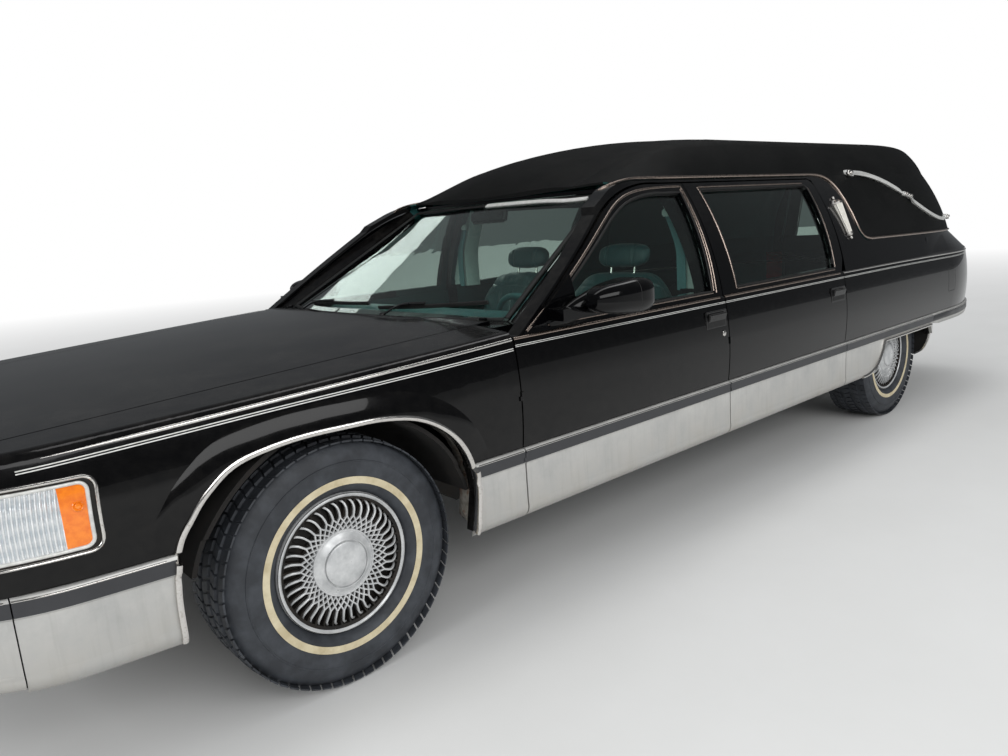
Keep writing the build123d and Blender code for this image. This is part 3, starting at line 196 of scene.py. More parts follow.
def black_paint():
    """Enamel under a clear coat: a film of dust, and a faint waviness 110 mm across."""
    made, add, shader, coords = surface(
        "paint_black_gloss", "#050506", 0.16, Specular_IOR_Level=0.1, Coat_Weight=0.65, Coat_Roughness=0.03, Coat_IOR=1.34
    )
    film = add(NOISE, {"Vector": coords, "Scale": per_metre(29.4), "Detail": 6.0, "Roughness": 0.7})
    low_down = add(RANGE, {0: add(SPLIT, {0: coords}, "Z"), 1: 0.95, 2: 0.45, 4: 0.35})
    settled = add(MATHS, {0: low_down, 1: dusty_up(add, coords)}, operation="ADD")
    thin = add(RANGE, {0: film, 1: 0.3, 2: 0.7, 3: 0.01, 4: 0.12})
    dust = add(MATHS, {0: settled, 1: thin}, operation="MULTIPLY")
    painted = add(MIX, {0: dust, 6: "#030304", 7: "#807c75"}, 2, data_type="RGBA")
    lining = add(MIX, {0: film, 6: "#12302f", 7: "#1c4140"}, 2, data_type="RGBA")
    inside = inward(add, coords)
    gloss = add(RANGE, {0: film, 1: 0.2, 2: 0.8, 3: 0.08, 4: 0.2})
    matt = add(MATHS, {0: inside, 1: 0.45}, operation="MULTIPLY")
    wave = add(NOISE, {"Vector": coords, "Scale": per_metre(111), "Detail": 1.0, "Roughness": 0.6})
    wire(shader, {
        "Base Color": add(MIX, {0: inside, 6: painted, 7: lining}, 2, data_type="RGBA"),
        "Roughness": add(MATHS, {0: gloss, 1: matt}, operation="ADD"),
        "Coat Weight": add(RANGE, {0: inside, 3: 0.65, 4: 0.0}),
        "Normal": add(BUMP, {"Height": wave, "Distance": 0.0012, "Strength": 0.05}),
    })
    return made


M = {"paint": black_paint()}
print("paint nodes:", len(M["paint"].node_tree.nodes))

# %% [markdown]
# ## Vinyl and cladding
# The roof is wrapped in calendered vinyl, embossed with a leather grain of about 1.6 mm. It
# scatters light and hides reflections. Cells of noise give its pebbles, which a displaced mesh
# would need millions of faces for. The lower cladding is moulded plastic under satin silver
# paint, with a charcoal rub strip moulded into its top. The strip runs level round the whole
# car, so a band of height draws it.

# %% Roof vinyl and silver cladding
VINYL_GRAIN_MM = 1.613
STRIP_LOW, STRIP_HIGH = 0.5245, 0.5608
BAND_Z = 1.043


def vinyl_black():
    """Embossed vinyl, matt and unevenly faded, with its teal headlining on the cabin side."""
    made, add, shader, coords = surface("vinyl_roof_grain", "#0e0f10", 0.55, Specular_IOR_Level=0.14)
    cells = add(CELLS, {"Vector": coords, "Scale": per_metre(VINYL_GRAIN_MM)}, feature="DISTANCE_TO_EDGE")
    pebbles = add(MATHS, {0: cells, 1: 2.2}, operation="MULTIPLY")
    creases = add(NOISE, {"Vector": coords, "Scale": per_metre(3.85), "Detail": 4.0, "Roughness": 0.6})
    patch = add(NOISE, {"Vector": coords, "Scale": per_metre(312.5), "Detail": 5.0, "Roughness": 0.6})
    faded = add(MIX, {0: add(RANGE, {0: patch, 1: 0.35, 2: 0.7}), 6: "#070808", 7: "#111212"}, 2, data_type="RGBA")
    dust = add(MATHS, {0: dusty_up(add, coords), 1: 0.03}, operation="MULTIPLY")
    outside = add(MIX, {0: dust, 6: faded, 7: "#6e675e"}, 2, data_type="RGBA")
    lining = add(MIX, {0: patch, 6: "#1f4442", 7: "#2b5452"}, 2, data_type="RGBA")
    looks_up = add(SPLIT, {0: add("ShaderNodeNewGeometry", out="Normal")}, "Z")
    under = add(MATHS, {0: looks_up, 1: -0.25}, operation="LESS_THAN")
    inside = add(MATHS, {0: inward(add, coords), 1: under}, operation="MAXIMUM")
    relief = add(MATHS, {0: pebbles, 1: add(MATHS, {0: creases, 1: 0.6}, operation="MULTIPLY")}, operation="ADD")
    wire(shader, {
        "Base Color": add(MIX, {0: inside, 6: outside, 7: lining}, 2, data_type="RGBA"),
        "Roughness": add(RANGE, {0: patch, 1: 0.3, 2: 0.7, 3: 0.48, 4: 0.62}),
        "Normal": add(BUMP, {"Height": relief, "Distance": 0.0006, "Strength": 0.7}),
    })
    return made


def paint_and_vinyl():
    """The rear door: vinyl above the bright band and paint under it, in one shader."""
    made, add, shader, coords = surface("tailgate_paint_and_vinyl", "#070708", 0.2, Coat_Roughness=0.03)
    top = add(MATHS, {0: add(SPLIT, {0: coords}, "Z"), 1: BAND_Z}, operation="GREATER_THAN")
    cells = add(CELLS, {"Vector": coords, "Scale": per_metre(VINYL_GRAIN_MM)}, feature="DISTANCE_TO_EDGE")
    pebbles = add(MATHS, {0: cells, 1: top}, operation="MULTIPLY")
    wire(shader, {
        "Base Color": add(MIX, {0: top, 6: "#060607", 7: "#131415"}, 2, data_type="RGBA"),
        "Roughness": add(RANGE, {0: top, 3: 0.13, 4: 0.56}),
        "Normal": add(BUMP, {"Height": pebbles, "Distance": 0.0008, "Strength": 0.6}),
    })
    return made


def cladding_silver():
    """Satin paint on plastic: clouded, scuffed upwards in streaks, and dirty along its foot."""
    made, add, shader, coords = surface("cladding_satin_silver", "#b4b4b1", 0.34, 0.3)
    z = add(SPLIT, {0: coords}, "Z")
    cloud = add(NOISE, {"Vector": coords, "Scale": per_metre(143), "Detail": 8.0, "Roughness": 0.65})
    stretch = (per_metre(16.7), per_metre(16.7), per_metre(250))
    upright = add("ShaderNodeMapping", {"Vector": coords, "Scale": stretch})
    streaks = add(NOISE, {"Vector": upright, "Scale": 1.0, "Detail": 5.0, "Roughness": 0.6})
    scuffs = add(RANGE, {0: streaks, 1: 0.5, 2: 0.8, 4: 0.25})
    foot = add(RANGE, {0: z, 1: 0.5, 2: 0.34})
    spots = add(RANGE, {0: cloud, 1: 0.35, 2: 0.75, 3: 0.1, 4: 0.75})
    dirt = add(MATHS, {0: foot, 1: spots}, operation="MULTIPLY")
    silver = add(MIX, {0: add(RANGE, {0: cloud, 1: 0.3, 2: 0.7}), 6: "#a9a9a7", 7: "#c4c3bf"}, 2, data_type="RGBA")
    silver = add(MIX, {0: scuffs, 6: silver, 7: "#85827d"}, 2, data_type="RGBA")
    silver = add(MIX, {0: dirt, 6: silver, 7: "#8a847a"}, 2, data_type="RGBA")
    charcoal = add(MIX, {0: cloud, 6: "#232427", 7: "#3a3b3e"}, 2, data_type="RGBA")
    above = add(MATHS, {0: z, 1: STRIP_LOW}, operation="GREATER_THAN")
    below = add(MATHS, {0: z, 1: STRIP_HIGH}, operation="LESS_THAN")
    strip_here = add(MATHS, {0: above, 1: below}, operation="MULTIPLY")
    peel = add(NOISE, {"Vector": coords, "Scale": per_metre(2.38), "Detail": 2.0, "Roughness": 0.6})
    wire(shader, {
        "Base Color": add(MIX, {0: strip_here, 6: silver, 7: charcoal}, 2, data_type="RGBA"),
        "Metallic": add(RANGE, {0: strip_here, 3: 0.3, 4: 0.0}),
        "Roughness": add(RANGE, {0: cloud, 1: 0.3, 2: 0.7, 3: 0.3, 4: 0.46}),
        "Normal": add(BUMP, {"Height": peel, "Distance": 0.0002, "Strength": 0.25}),
    })
    return made


M.update(vinyl=vinyl_black(), two_zone=paint_and_vinyl(), cladding=cladding_silver())
print("materials so far:", list(M))

# %% [markdown]
# ## Bright metal, lenses and glass
# Trim is chrome plate on steel, pitted after many winters. Its pits are near 5 mm clusters, so
# they read as a warm haze. The chrome of the window frames, door belts and roof band is tinted
# brown, a painted reflection. A lamp lens is pressed glass with upright flutes 11 mm apart,
# which bump can show, since its outline is hidden in a frame. Its colour is painted lighter on
# each crest and darker in each trough, as painted highlight and shade. Window glass is clear
# with a green tint. Cycles treats clear glass as a solid that blocks lamps, which leaves a cabin
# black, so shadow and scattered rays are let straight through.

# %% Chrome, lens, glass and rust
FLUTE_PITCH, ROW_PITCH = 0.011, 0.034


def chrome(name="chrome_trim", colour="#d9d6d2", rough=0.1):
    """Chrome plate with a warm tarnish in places."""
    made, add, shader, coords = surface(name, colour, rough, 1.0)
    pits = add(NOISE, {"Vector": coords, "Scale": per_metre(5.26), "Detail": 5.0, "Roughness": 0.6})
    tarnish = add(RANGE, {0: pits, 1: 0.55, 2: 0.8})
    wire(shader, {
        "Base Color": add(MIX, {0: tarnish, 6: colour, 7: "#9c8f82"}, 2, data_type="RGBA"),
        "Roughness": add(RANGE, {0: pits, 1: 0.3, 2: 0.8, 3: rough, 4: rough + 0.18}),
    })
    return made


def fluted_lens():
    """Pressed glass over a bright reflector. Its flutes run up, and shallow rows cross them. Its colour is a painted
    highlight on each crest and painted shade in each trough.
    """
    made, add, shader, coords = surface("lamp_lens_fluted", "#dfe4e7", 0.12, 0.45, Coat_Weight=0.6, Coat_Roughness=0.02)
    x, y, z = (add(SPLIT, {0: coords}, axis) for axis in "XYZ")
    run = add(MATHS, {0: x, 1: y}, operation="SUBTRACT")
    flutes = add(MATHS, {0: add(MATHS, {0: run, 1: 2 * pi / FLUTE_PITCH}, operation="MULTIPLY")}, operation="SINE")
    rows = add(MATHS, {0: add(MATHS, {0: z, 1: 2 * pi / ROW_PITCH}, operation="MULTIPLY")}, operation="SINE")
    wobble = add(NOISE, {"Vector": coords, "Scale": per_metre(7.7), "Detail": 2.0, "Roughness": 0.6})
    depth = add(MATHS, {0: flutes, 1: 0.6}, operation="MULTIPLY")
    for wave, share in ((rows, 0.25), (wobble, 1.2)):
        scaled = add(MATHS, {0: wave, 1: share}, operation="MULTIPLY")
        depth = add(MATHS, {0: depth, 1: scaled}, operation="ADD")
    # Colour follows the relief: a painted highlight on each crest and painted shade in each trough.
    painted_crest_highlight = add(RANGE, {0: depth, 1: -0.2, 2: 1.5})
    wire(shader, {
        "Base Color": add(MIX, {0: painted_crest_highlight, 6: "#c0c9cf", 7: "#fbfcfc"}, 2, data_type="RGBA"),
        "Roughness": add(RANGE, {0: flutes, 1: -1.0, 3: 0.06, 4: 0.2}),
        "Normal": add(BUMP, {"Height": depth, "Distance": 0.003, "Strength": 1.0}),
    })
    return made


def window_glass():
    """Tinted float glass with faint smears. Only camera and mirror rays meet the glass itself."""
    made, add, shader, coords = surface("window_glass_green", "#dcebe4", 0.0, Transmission_Weight=1.0, IOR=1.45)
    smears = add(NOISE, {"Vector": coords, "Scale": per_metre(71.4), "Detail": 6.0, "Roughness": 0.6})
    wire(shader, {"Roughness": add(RANGE, {0: smears, 1: 0.45, 2: 0.8, 3: 0.0, 4: 0.02})})
    shadow, scattered = (add("ShaderNodeLightPath", out=ray) for ray in ("Is Shadow Ray", "Is Diffuse Ray"))
    passes = add(MATHS, {0: shadow, 1: scattered}, operation="MAXIMUM")
    clear = add("ShaderNodeBsdfTransparent", {"Color": "#e3ebe7"})
    show(made, add("ShaderNodeMixShader", {0: passes, 1: shader.outputs[0], 2: clear}))
    return made


def rusty_flange():
    """Painted steel under dust. The paint has lifted off in patches of rust some 45 mm wide."""
    made, add, shader, coords = surface("inner_flange_rusty", "#8b8780", 0.8)
    patch = add(NOISE, {"Vector": coords, "Scale": per_metre(45.5), "Detail": 8.0, "Roughness": 0.7})
    film = add(NOISE, {"Vector": coords, "Scale": per_metre(16.7), "Detail": 5.0, "Roughness": 0.6})
    dusted = add(MIX, {0: add(RANGE, {0: film, 1: 0.3, 2: 0.7}), 6: "#85827b", 7: "#5d5850"}, 2, data_type="RGBA")
    rust = add(RANGE, {0: patch, 1: 0.5, 2: 0.62})
    wire(shader, {
        "Base Color": add(MIX, {0: rust, 6: dusted, 7: "#5c3a26"}, 2, data_type="RGBA"),
        "Normal": add(BUMP, {"Height": patch, "Distance": 0.002, "Strength": 0.6}),
    })
    return made


# Window frames, door belts and the roof band get chrome tinted brown: a painted reflection.
M.update(chrome=chrome(), frame_bright=chrome("window_frame_bright", "#a8998f", 0.2))
M.update(lens=fluted_lens(), glass=window_glass(), rusty=rusty_flange())
print("materials so far:", len(M))

# %% [markdown]
# ## Plain finishes, leather and rubber
# Many parts have one finish that only drifts a little in tone: moulded plastic, cast iron,
# dusty steel, cream rubber. One function makes them all, and a table says what each one is.
# Seat leather is dyed hide, with a pebbled grain of 2.4 mm and broad creases. Tyre rubber is
# greyed by dust, and its light bluish grey is partly a painted sheen, so its fine grain is drawn
# at 2 mm, coarser than real, to show at all.

# %% Table of plain finishes
def plain(name, colour, other, rough, metal, cloud_mm, grain=0.0, **extra):
    """A finish between two tones, with a fine grain of the given depth where it is moulded."""
    made, add, shader, coords = surface(name, colour, rough, metal, **extra)
    cloud = add(NOISE, {"Vector": coords, "Scale": per_metre(cloud_mm), "Detail": 5.0, "Roughness": 0.6})
    tone = add(RANGE, {0: cloud, 1: 0.35, 2: 0.7})
    wire(shader, {
        "Base Color": add(MIX, {0: tone, 6: colour, 7: other}, 2, data_type="RGBA"),
        "Roughness": add(RANGE, {0: cloud, 1: 0.3, 2: 0.7, 3: max(rough - 0.06, 0.02), 4: rough + 0.08}),
    })
    if grain:
        fine = add(NOISE, {"Vector": coords, "Scale": per_metre(1.43), **SOFT})
        wire(shader, {"Normal": add(BUMP, {"Height": fine, "Distance": grain, "Strength": 0.5})})
    return made


# Key: name, two tones, roughness, metal, size of the clouds in mm, depth of grain in metres.
PLAIN = {
    # Bright parts: brushed or painted metal that blurs what it mirrors.
    "satin": ("satin_metal", "#dcdcd9", "#c2c2be", 0.36, 0.3, 16.7),
    "wheel": ("wheel_satin_silver", "#d2d3d3", "#aeb0b1", 0.32, 0.3, 38.5),
    "mirror": ("mirror_glass_silver", "#b9c2c6", "#aab3b8", 0.03, 1.0, 125.0),
    # Rubber, bare plastic and dark metal: soft highlights and a dusty tone.
    "black_plastic": ("plastic_black", "#0b0b0c", "#151516", 0.3, 0.0, 25.0, 0.00015),
    "rubber": ("rubber_seal", "#0c0c0c", "#161616", 0.6, 0.0, 16.7, 0.0002),
    "liner": ("wheelhouse_black", "#0d0c0b", "#1e1a17", 0.85, 0.0, 111.0, 0.0008),
    "underbody": ("underbody_black", "#141312", "#2c2620", 0.7, 0.0, 83.3, 0.0004),
    "steel_dark": ("wheel_steel_dark", "#191817", "#2e2822", 0.6, 0.4, 50.0),
    "iron": ("cast_iron_dusty", "#2a2723", "#3d3128", 0.7, 0.6, 50.0, 0.0004),
    "exhaust": ("exhaust_steel_dull", "#5b5248", "#3b2f26", 0.5, 0.8, 71.4, 0.0003),
    "whitewall": ("whitewall_cream", "#cfc4a6", "#b3a584", 0.6, 0.0, 45.5),
    # The cabin: teal vinyl, moulded plastic, carpet pile and belt web.
    "dash": ("dashboard_teal_vinyl", "#1d4c4f", "#285e60", 0.5, 0.0, 33.3, 0.0006),
    "trim_light": ("pillar_trim_teal", "#d3e4e1", "#bcd2ce", 0.5, 0.0, 25.0, 0.0003),
    "belt_web": ("seat_belt_teal_web", "#5f8f93", "#4c7b7f", 0.7, 0.0, 5.0, 0.0004),
    "carpet": ("carpet_teal", "#0d2224", "#16302f", 0.95, 0.0, 3.33, 0.003),
}
# Glossy plastics and varnish: a clear layer over a deep colour.
COATED = {
    "amber": (("lamp_amber_plastic", "#f0841c", "#de6a0c", 0.16, 0.0, 16.7), {"Coat_Weight": 0.6}),
    "opal": (("coach_lamp_opal", "#e9e6de", "#d9d5cb", 0.2, 0.0, 25.0), {"Coat_Weight": 0.4}),
    "board": (("deck_board_dark", "#2a1a12", "#3a2418", 0.35, 0.0, 62.5), {"Coat_Weight": 0.4}),
    "red": (("lamp_red_plastic", "#7a0508", "#5a0306", 0.18, 0.0, 25.0), {"Specular_IOR_Level": 0.25}),
}
for key, row in PLAIN.items():
    M[key] = plain(*row)
for key, (row, extra) in COATED.items():
    M[key] = plain(*row, **extra)
print(len(PLAIN) + len(COATED), "plain finishes")


# %% Leather and tyre rubber
def leather():
    made, add, shader, coords = surface("leather_teal", "#193e41", 0.42, Sheen_Weight=0.1)
    cells = add(CELLS, {"Vector": coords, "Scale": per_metre(2.38)}, feature="DISTANCE_TO_EDGE")
    crease = add(NOISE, {"Vector": coords, "Scale": per_metre(45.5), "Detail": 6.0, "Roughness": 0.7})
    tone = add(RANGE, {0: crease, 1: 0.3, 2: 0.75})
    relief = add(MATHS, {0: add(MATHS, {0: cells, 1: 2.0}, operation="MULTIPLY"), 1: crease}, operation="ADD")
    wire(shader, {
        "Base Color": add(MIX, {0: tone, 6: "#193e41", 7: "#275053"}, 2, data_type="RGBA"),
        "Roughness": add(RANGE, {0: crease, 1: 0.3, 2: 0.7, 3: 0.36, 4: 0.52}),
        "Normal": add(BUMP, {"Height": relief, "Distance": 0.0006, "Strength": 0.5}),
    })
    return made


def tyre_rubber():
    # The bluish greys are partly dust and partly a painted sheen on the wall.
    made, add, shader, coords = surface("tyre_rubber", "#2b2e33", 0.6)
    cloud = add(NOISE, {"Vector": coords, "Scale": per_metre(62.5), "Detail": 7.0, "Roughness": 0.6})
    tone = add(RANGE, {0: cloud, 1: 0.4, 2: 0.75})
    grain = add(NOISE, {"Vector": coords, "Scale": per_metre(2.0), **SOFT})
    wire(shader, {
        "Base Color": add(MIX, {0: tone, 6: "#2a2d32", 7: "#41454b"}, 2, data_type="RGBA"),
        "Normal": add(BUMP, {"Height": grain, "Distance": 0.0004, "Strength": 0.4}),
    })
    return made


M.update(leather=leather(), tyre=tyre_rubber())
print(len(M), "materials")

# %% [markdown]
# ## Finishes on the CAD nodes
# A finish could be set on each node by hand. A table of finishes is easier to check, and the
# last line shows any node that was forgotten.

# %% Which node has which finish
FINISH = {
    "paint": ["body_frame", "front_fenders", "quarter_panels", "hood"],
    "vinyl": ["vinyl_roof"],
    "two_zone": ["tailgate"],
    "cladding": ["lower_cladding", "front_bumper", "rear_bumper"],
    "chrome": ["grille"],
    "satin": ["landau_irons"],
    "glass": ["windshield", "tailgate_glass"],
    "lens": ["headlamps"],
    "amber": ["corner_lamps"],
    "red": ["tail_lamps"],
    "opal": ["coach_lamps"],
    "underbody": ["chassis_frame", "front_suspension", "drive_shaft", "fuel_tank"],
    "iron": ["engine_block", "rear_axle"],
    "exhaust": ["exhaust_system"],
    "leather": ["front_bench"],
    "dash": ["dashboard", "steering_wheel"],
    "liner": ["wheelhouse_liners"],
    "carpet": ["floor_pan"],
    "board": ["casket_deck"],
    "steel_dark": [],
    "rubber": [],
}
SIDES = (("left", 1), ("right", -1))
for side, _ in SIDES:
    FINISH["iron"].append(f"knuckle_{side}")
    FINISH["paint"].append(f"mirror_{side}")
    for axle in ("front", "rear"):
        FINISH["paint"].append(f"{axle}_door_{side}")
        FINISH["glass"].append(f"{axle}_door_glass_{side}")
        FINISH["cladding"].append(f"{axle}_door_cladding_{side}")
        FINISH["steel_dark"].append(f"{axle}_wheel_{side}")
        FINISH["rubber"].append(f"{axle}_tyre_{side}")
for key, names in FINISH.items():
    for name in names:
        holder = nodes[name]
        if not holder.material_slots:
            holder.data.materials.append(M[key])
        for held in holder.material_slots:
            held.material = M[key]
print("nodes without a finish:", set(nodes) - {name for names in FINISH.values() for name in names})

# %% [markdown]
# ## Making a piece
# Every added piece is one mesh whose points are already in their places, so its object stays
# at the origin, as a CAD node's does. It rides on the body that carries it. The car is the same
# on both sides, so a left piece is mirrored. A mirror turns a mesh inside out, and the faces
# are turned back.

# %% Pieces and twins
SHARP = radians(35)


def piece(name, mesh_or_bm, key, body):
    """A finished piece: mesh, material and the body that it rides on."""
    mesh = mesh_or_bm
    if isinstance(mesh_or_bm, bmesh.types.BMesh):
        bmesh.ops.recalc_face_normals(mesh_or_bm, faces=mesh_or_bm.faces)
        mesh = bpy.data.meshes.new(name)
        mesh_or_bm.to_mesh(mesh)
        mesh_or_bm.free()
    mesh.name = name
    if not mesh.materials:
        mesh.materials.append(M[key])
    mesh.shade_smooth()
    mesh.set_sharp_from_angle(angle=SHARP)
    made = bpy.data.objects.new(name, mesh)
    bpy.context.scene.collection.objects.link(made)
    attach(made, body)
    return made


def twin(made, name, body):
    """The mirror image of a left piece."""
    bm = bmesh.new()
    bm.from_mesh(made.data)
    bmesh.ops.transform(bm, matrix=Matrix.Scale(-1, 4, (0, 1, 0)), verts=bm.verts)
    bmesh.ops.reverse_faces(bm, faces=bm.faces)
    mesh = bpy.data.meshes.new(name)
    bm.to_mesh(mesh)
    bm.free()
    for held in made.data.materials:
        mesh.materials.append(held)
    copy = bpy.data.objects.new(name, mesh)
    bpy.context.scene.collection.objects.link(copy)
    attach(copy, body)
    return copy


def both(stem, mesh_or_bm, key, door=None):
    """A left piece and its right twin, on the fixed body or on the door of each side."""
    made = piece(f"{stem}_left", mesh_or_bm, key, f"{door}_left" if door else "root")
    return made, twin(made, f"{stem}_right", f"{door}_right" if door else "root")


print("a piece's edges stay sharp above", round(degrees(SHARP)), "degrees")

# %% [markdown]
# ## Tyres
# The tyre is a rubber ring with a cream wall line and moulded ribs on its wall. Its skin is a
# profile turned about the axle, which is how a mould makes it. Each step of the profile that
# shows is a rib or the edge of the line. The line is a ring of faces with its own material, so
# its edges stay crisp at any distance.

# %% Tyre skin
FRONT_AXLE_X, REAR_AXLE_X = 2.098, -1.610
TRACK = {"front": 1.567, "rear": 1.542}
TYRE_R, TYRE_W = 0.3665, 0.235
WALL_LINE = (0.2365, 0.2568)
# Radius, and how far the skin stands out of the plane of the tyre's side there.
TYRE_SIDE = [
    (0.1935, -0.0345), (0.2063, -0.0325), (0.2140, -0.0220), (0.2200, -0.0120), (0.2300, -0.0045),
    (0.2355, -0.0020), (0.2362, -0.0004), (0.2570, 0.0006), (0.2578, -0.0008), (0.2780, -0.0002),
    (0.2990, -0.0008), (0.3000, 0.0006), (0.3030, 0.0006), (0.3040, -0.0014), (0.3240, -0.0050),
    (0.3400, -0.0125), (0.3520, -0.0230), (0.3575, -0.0300), (0.3590, -0.0400),
]


def lathe(profile, steps, closed=True):
    """A (radius, y) profile turned about the Y axis."""
    bm = bmesh.new()
    rings = []
    for radius, y in profile:
        angles = [2 * pi * i / steps for i in range(steps if radius > 1e-6 else 1)]
        rings.append([bm.verts.new((radius * cos(a), y, radius * sin(a))) for a in angles])
    pairs = list(zip(rings, rings[1:]))
    if closed:
        pairs.append((rings[-1], rings[0]))
    for one, two in pairs:
        for i in range(steps):
            j = (i + 1) % steps
            corners = (one[i % len(one)], one[j % len(one)], two[j % len(two)], two[i % len(two)])
            distinct = list(dict.fromkeys(corners))
            if len(distinct) > 2:
                bm.faces.new(distinct)
    return bm


def mesh_of(bm, name, *keys):
    """A mesh from a bmesh, with its faces outwards."""
    bmesh.ops.recalc_face_normals(bm, faces=bm.faces)
    mesh = bpy.data.meshes.new(name)
    bm.to_mesh(mesh)
    bm.free()
    for key in keys:
        mesh.materials.append(M[key])
    return mesh


def tyre_skin():
    half = [(radius, TYRE_W / 2 + out) for radius, out in TYRE_SIDE]
    bm = lathe(half + [(radius, -y) for radius, y in reversed(half)], 128)
    for face in bm.faces:
        middle = face.calc_center_median()
        on_line = WALL_LINE[0] < math.hypot(middle.x, middle.z) < WALL_LINE[1]
        face.material_index = 1 if middle.y > 0.11 and on_line else 0
    return mesh_of(bm, "tyre", "tyre", "whitewall")


tyre_mesh = tyre_skin()
print("tyre skin", len(tyre_mesh.polygons), "faces")

# %% [markdown]
# ## Tread and laced spokes
# Both repeat round the wheel: 64 pitches of five ribs, and 40 waved wires that split halfway in
# and cross their neighbours. Copies could be made in a Python loop. Geometry Nodes keep one
# source and a count instead, and Realize Instances turns the ring into a plain mesh that the
# export can keep.

# %% A ring of copies
SPOKES, TREAD_PITCHES = 40, 64


def ring_of(name, source, count, key):
    """Geometry Nodes: a mesh repeated about the Y axis, made real as one mesh."""
    tree = bpy.data.node_groups.new(name, "GeometryNodeTree")
    tree.interface.new_socket("Geometry", in_out="INPUT", socket_type="NodeSocketGeometry")
    count_in = tree.interface.new_socket("Count", in_out="INPUT", socket_type="NodeSocketInt")
    tree.interface.new_socket("Geometry", in_out="OUTPUT", socket_type="NodeSocketGeometry")
    add = partial(node, tree)
    shape, number = (add("NodeGroupInput", out=socket) for socket in ("Geometry", "Count"))
    points = add("GeometryNodePoints", {"Count": number})
    share = add(MATHS, {0: add("GeometryNodeInputIndex"), 1: number}, operation="DIVIDE")
    angle = add(MATHS, {0: share, 1: 2 * pi}, operation="MULTIPLY")
    turn = add("ShaderNodeCombineXYZ", {"Y": angle})
    copies = add("GeometryNodeInstanceOnPoints", {"Points": points, "Instance": shape, "Rotation": turn})
    real = add("GeometryNodeRealizeInstances", {"Geometry": copies})
    dressed = add("GeometryNodeSetMaterial", {"Geometry": real, "Material": M[key]})
    add("NodeGroupOutput", {0: dressed})
    bmesh.ops.recalc_face_normals(source, faces=source.faces)
    mesh = bpy.data.meshes.new(name)
    source.to_mesh(mesh)
    source.free()
    holder = bpy.data.objects.new(name, mesh)
    bpy.context.scene.collection.objects.link(holder)
    modifier = holder.modifiers.new("array", "NODES")
    modifier.node_group = tree
    modifier[count_in.identifier] = count
    holder.update_tag()
    bpy.context.view_layer.update()
    made = bpy.data.meshes.new_from_object(holder.evaluated_get(bpy.context.evaluated_depsgraph_get()))
    bpy.data.objects.remove(holder)
    if not made.materials:
        made.materials.append(M[key])
    return made


print(TREAD_PITCHES, "pitches of tread and", SPOKES, "spokes")

# %% Tread
# Where each rib runs across the tyre, and how wide it is.
RIBS = ((-0.0985, 0.030), (-0.052, 0.030), (0.0, 0.038), (0.052, 0.030), (0.0985, 0.030))
TREAD_FOOT, SHOULDER_DROP, GROOVE_SKEW, RIB_SHARE = 0.3570, 0.0045, 0.35, 0.42


def tread_block():
    """One pitch of tread, cut by angled grooves, at the top of the tyre."""
    bm = bmesh.new()
    pitch = 2 * pi * 0.3625 / TREAD_PITCHES
    for index, (y, width) in enumerate(RIBS):
        skew = GROOVE_SKEW if index % 2 else -GROOVE_SKEW
        top = TYRE_R - (SHOULDER_DROP if abs(y) > 0.09 else 0.0)
        w, l = width / 2, pitch * RIB_SHARE
        corners = [(-l, -w), (l, -w), (l, w), (-l, w)]
        low = [bm.verts.new((a + b * skew, y + b, TREAD_FOOT)) for a, b in corners]
        high = [bm.verts.new((a * 0.93 + b * skew, y + b * 0.93, top - abs(a) * 0.03)) for a, b in corners]
        bm.faces.new(high)
        bm.faces.new(low[::-1])
        for i in range(4):
            j = (i + 1) % 4
            bm.faces.new((low[i], low[j], high[j], high[i]))
    return bm


tread_mesh = ring_of("tread", tread_block(), TREAD_PITCHES, "tyre")
print("tread", len(tread_mesh.polygons), "faces")

# %% [markdown]
# ## A section carried along a path
# Wires, trim, frames and wiper arms are all one section carried along a line. Blender's curves
# can do that, but their bevel can't follow a panel's own normal. This sweep takes a normal at
# each point, so that a strip lies flat on a curved door.

# %% Sweep, rings and a wire
def curve_through(points, step):
    """Points spaced evenly on a smooth curve through the given ones."""
    pts = [Vector(p) for p in points]
    pts = [2 * pts[0] - pts[1]] + pts + [2 * pts[-1] - pts[-2]]
    out = []
    for a, b, c, d in zip(pts, pts[1:], pts[2:], pts[3:]):
        count = max(1, round((c - b).length / step))
        for t in (i / count for i in range(count)):
            bend = (2 * a - 5 * b + 4 * c - d) * t * t + (3 * b - a - 3 * c + d) * t**3
            out.append(0.5 * (2 * b + (c - a) * t + bend))
    return out + [pts[-2]]


def ringed(rings):
    """A closed skin over rings of points."""
    bm = bmesh.new()
    skin_over(bm, rings)
    return bm


def skin_over(bm, rings):
    """Adds a closed skin over rings of points, capped at both ends."""
    rows = [[bm.verts.new(p) for p in ring] for ring in rings]
    for one, two in zip(rows, rows[1:]):
        for j in range(len(one)):
            k = (j + 1) % len(one)
            bm.faces.new((one[j], one[k], two[k], two[j]))
    bm.faces.new(rows[0])
    bm.faces.new(rows[-1][::-1])


def sweep(bm, points, normals, section, taper=None):
    """Carries a section of (across, out) points along a path."""
    rings = []
    for i, (point, normal) in enumerate(zip(points, normals)):
        along = (points[min(i + 1, len(points) - 1)] - points[max(i - 1, 0)]).normalized()
        across = along.cross(normal).normalized()
        k = taper(i / (len(points) - 1)) if taper else 1.0
        rings.append([point + across * u * k + normal * v * (k if v > 0 else 1) for u, v in section])
    skin_over(bm, rings)


# Radius and angle, in steps from one spoke to the next, down the middle of each wire.
OUTER_WIRE = [(0.1905, 0.85), (0.184, 0.5), (0.176, 0.22), (0.164, 0.05), (0.150, 0.0), (0.138, 0.0)]
BRANCH_WIRE = [(0.140, 0.0), (0.130, 0.32), (0.117, 0.85), (0.0975, 1.65)]
OUTER_WIDTH, BRANCH_WIDTH, WIRE_DEEP, WIRE_DOME = 0.0056, 0.0042, -0.006, 0.0012


